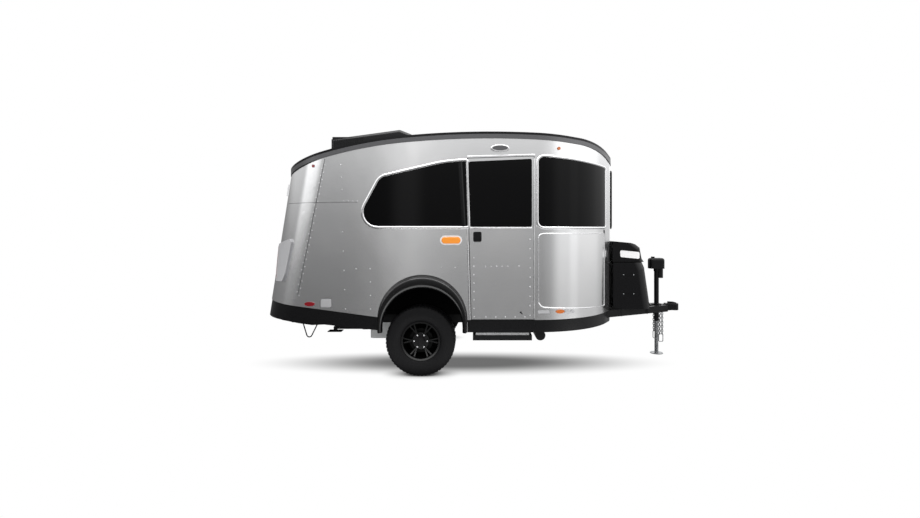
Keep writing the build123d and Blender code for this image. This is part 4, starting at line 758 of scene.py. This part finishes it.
# %% [markdown]
# ### Light from the floor
# The white floor in front of the caravan throws light up under its edges. A long, dim lamp lies there, which the
# camera doesn't see.


# %% Floor lamp
low_data = bpy.data.lights.new("floor_bounce", "AREA")
low_data.shape = "RECTANGLE"
low_data.size = 3.6
low_data.size_y = 0.6
low_data.energy = 14
low_lamp = bpy.data.objects.new("floor_bounce", low_data)
low_lamp.location = (0.4, -1.45, 0.03)
low_lamp.rotation_euler = (math.radians(180), 0, 0)
low_lamp.visible_camera = False
scene.collection.objects.link(low_lamp)

# %% [markdown]
# ### Floor
# The floor is a white studio sweep. To the camera it glows white, with shade painted into that glow: a soft oval
# of painted shadow under the body, placed by position on the floor, and a darker painted edge where the tyres and
# the foot touch it, which an ambient occlusion node measures. It throws soft light back up, but the metal doesn't
# mirror
# it: below the horizon the skin shows the soft boxes' lower halves.


# %% Floor
bpy.ops.mesh.primitive_plane_add(size=60, location=(0, 0, 0))
floor = bpy.context.object
floor.name = "studio_floor"
floor_finish = bpy.data.materials.new("studio_floor")
floor_finish.use_nodes = True
floor_finish.cycles.emission_sampling = "NONE"
# Painted shade: the darkest share of the white glow, at the contact edge and in the oval's middle.
painted_contact_darkest, painted_oval_darkest = 0.06, 0.16
tree = floor_finish.node_tree
tree.nodes.clear()
# Painted contact shade: an ambient occlusion node darkens the glow where the tyres and the foot stand close.
occlusion = tree.nodes.new("ShaderNodeAmbientOcclusion")
occlusion.inputs["Distance"].default_value = 0.30
occlusion.samples = 24
shade = tree.nodes.new("ShaderNodeMapRange")
shade.inputs["From Min"].default_value = 0.15
shade.inputs["From Max"].default_value = 0.80
shade.inputs["To Min"].default_value = painted_contact_darkest
tree.links.new(occlusion.outputs["AO"], shade.inputs["Value"])
# Painted shadow: a soft oval under the body, placed by position on the floor and darkest at its middle.
place = tree.nodes.new("ShaderNodeTexCoord")
oval = tree.nodes.new("ShaderNodeMapping")
oval.vector_type = "TEXTURE"
painted_shade_middle, painted_shade_reach = (-0.30, -0.42, 0), (2.55, 0.56, 1)
oval.inputs["Location"].default_value = painted_shade_middle
oval.inputs["Scale"].default_value = painted_shade_reach
tree.links.new(place.outputs["Object"], oval.inputs["Vector"])
reach = tree.nodes.new("ShaderNodeVectorMath")
reach.operation = "LENGTH"
tree.links.new(oval.outputs["Vector"], reach.inputs[0])
under = tree.nodes.new("ShaderNodeMapRange")
under.interpolation_type = "SMOOTHSTEP"
under.inputs["From Min"].default_value = 0.25
under.inputs["From Max"].default_value = 1.0
under.inputs["To Min"].default_value = painted_oval_darkest
tree.links.new(reach.outputs["Value"], under.inputs["Value"])
# The camera's white glow, times both painted shades.
both = math_node("MULTIPLY", shade.outputs["Result"], under.outputs["Result"])
glow = tree.nodes.new("ShaderNodeEmission")
tree.links.new(both, glow.inputs["Color"])
path = tree.nodes.new("ShaderNodeLightPath")
matt = tree.nodes.new("ShaderNodeBsdfDiffuse")
matt.inputs["Color"].default_value = (0.6, 0.6, 0.6, 1)
clear = tree.nodes.new("ShaderNodeBsdfTransparent")
unseen = tree.nodes.new("ShaderNodeMixShader")
tree.links.new(path.outputs["Is Glossy Ray"], unseen.inputs["Fac"])
tree.links.new(matt.outputs["BSDF"], unseen.inputs[1])
tree.links.new(clear.outputs["BSDF"], unseen.inputs[2])
pick = tree.nodes.new("ShaderNodeMixShader")
floor_out = tree.nodes.new("ShaderNodeOutputMaterial")
tree.links.new(path.outputs["Is Camera Ray"], pick.inputs["Fac"])
tree.links.new(unseen.outputs["Shader"], pick.inputs[1])
tree.links.new(glow.outputs["Emission"], pick.inputs[2])
tree.links.new(pick.outputs["Shader"], floor_out.inputs["Surface"])
floor.data.materials.append(floor_finish)
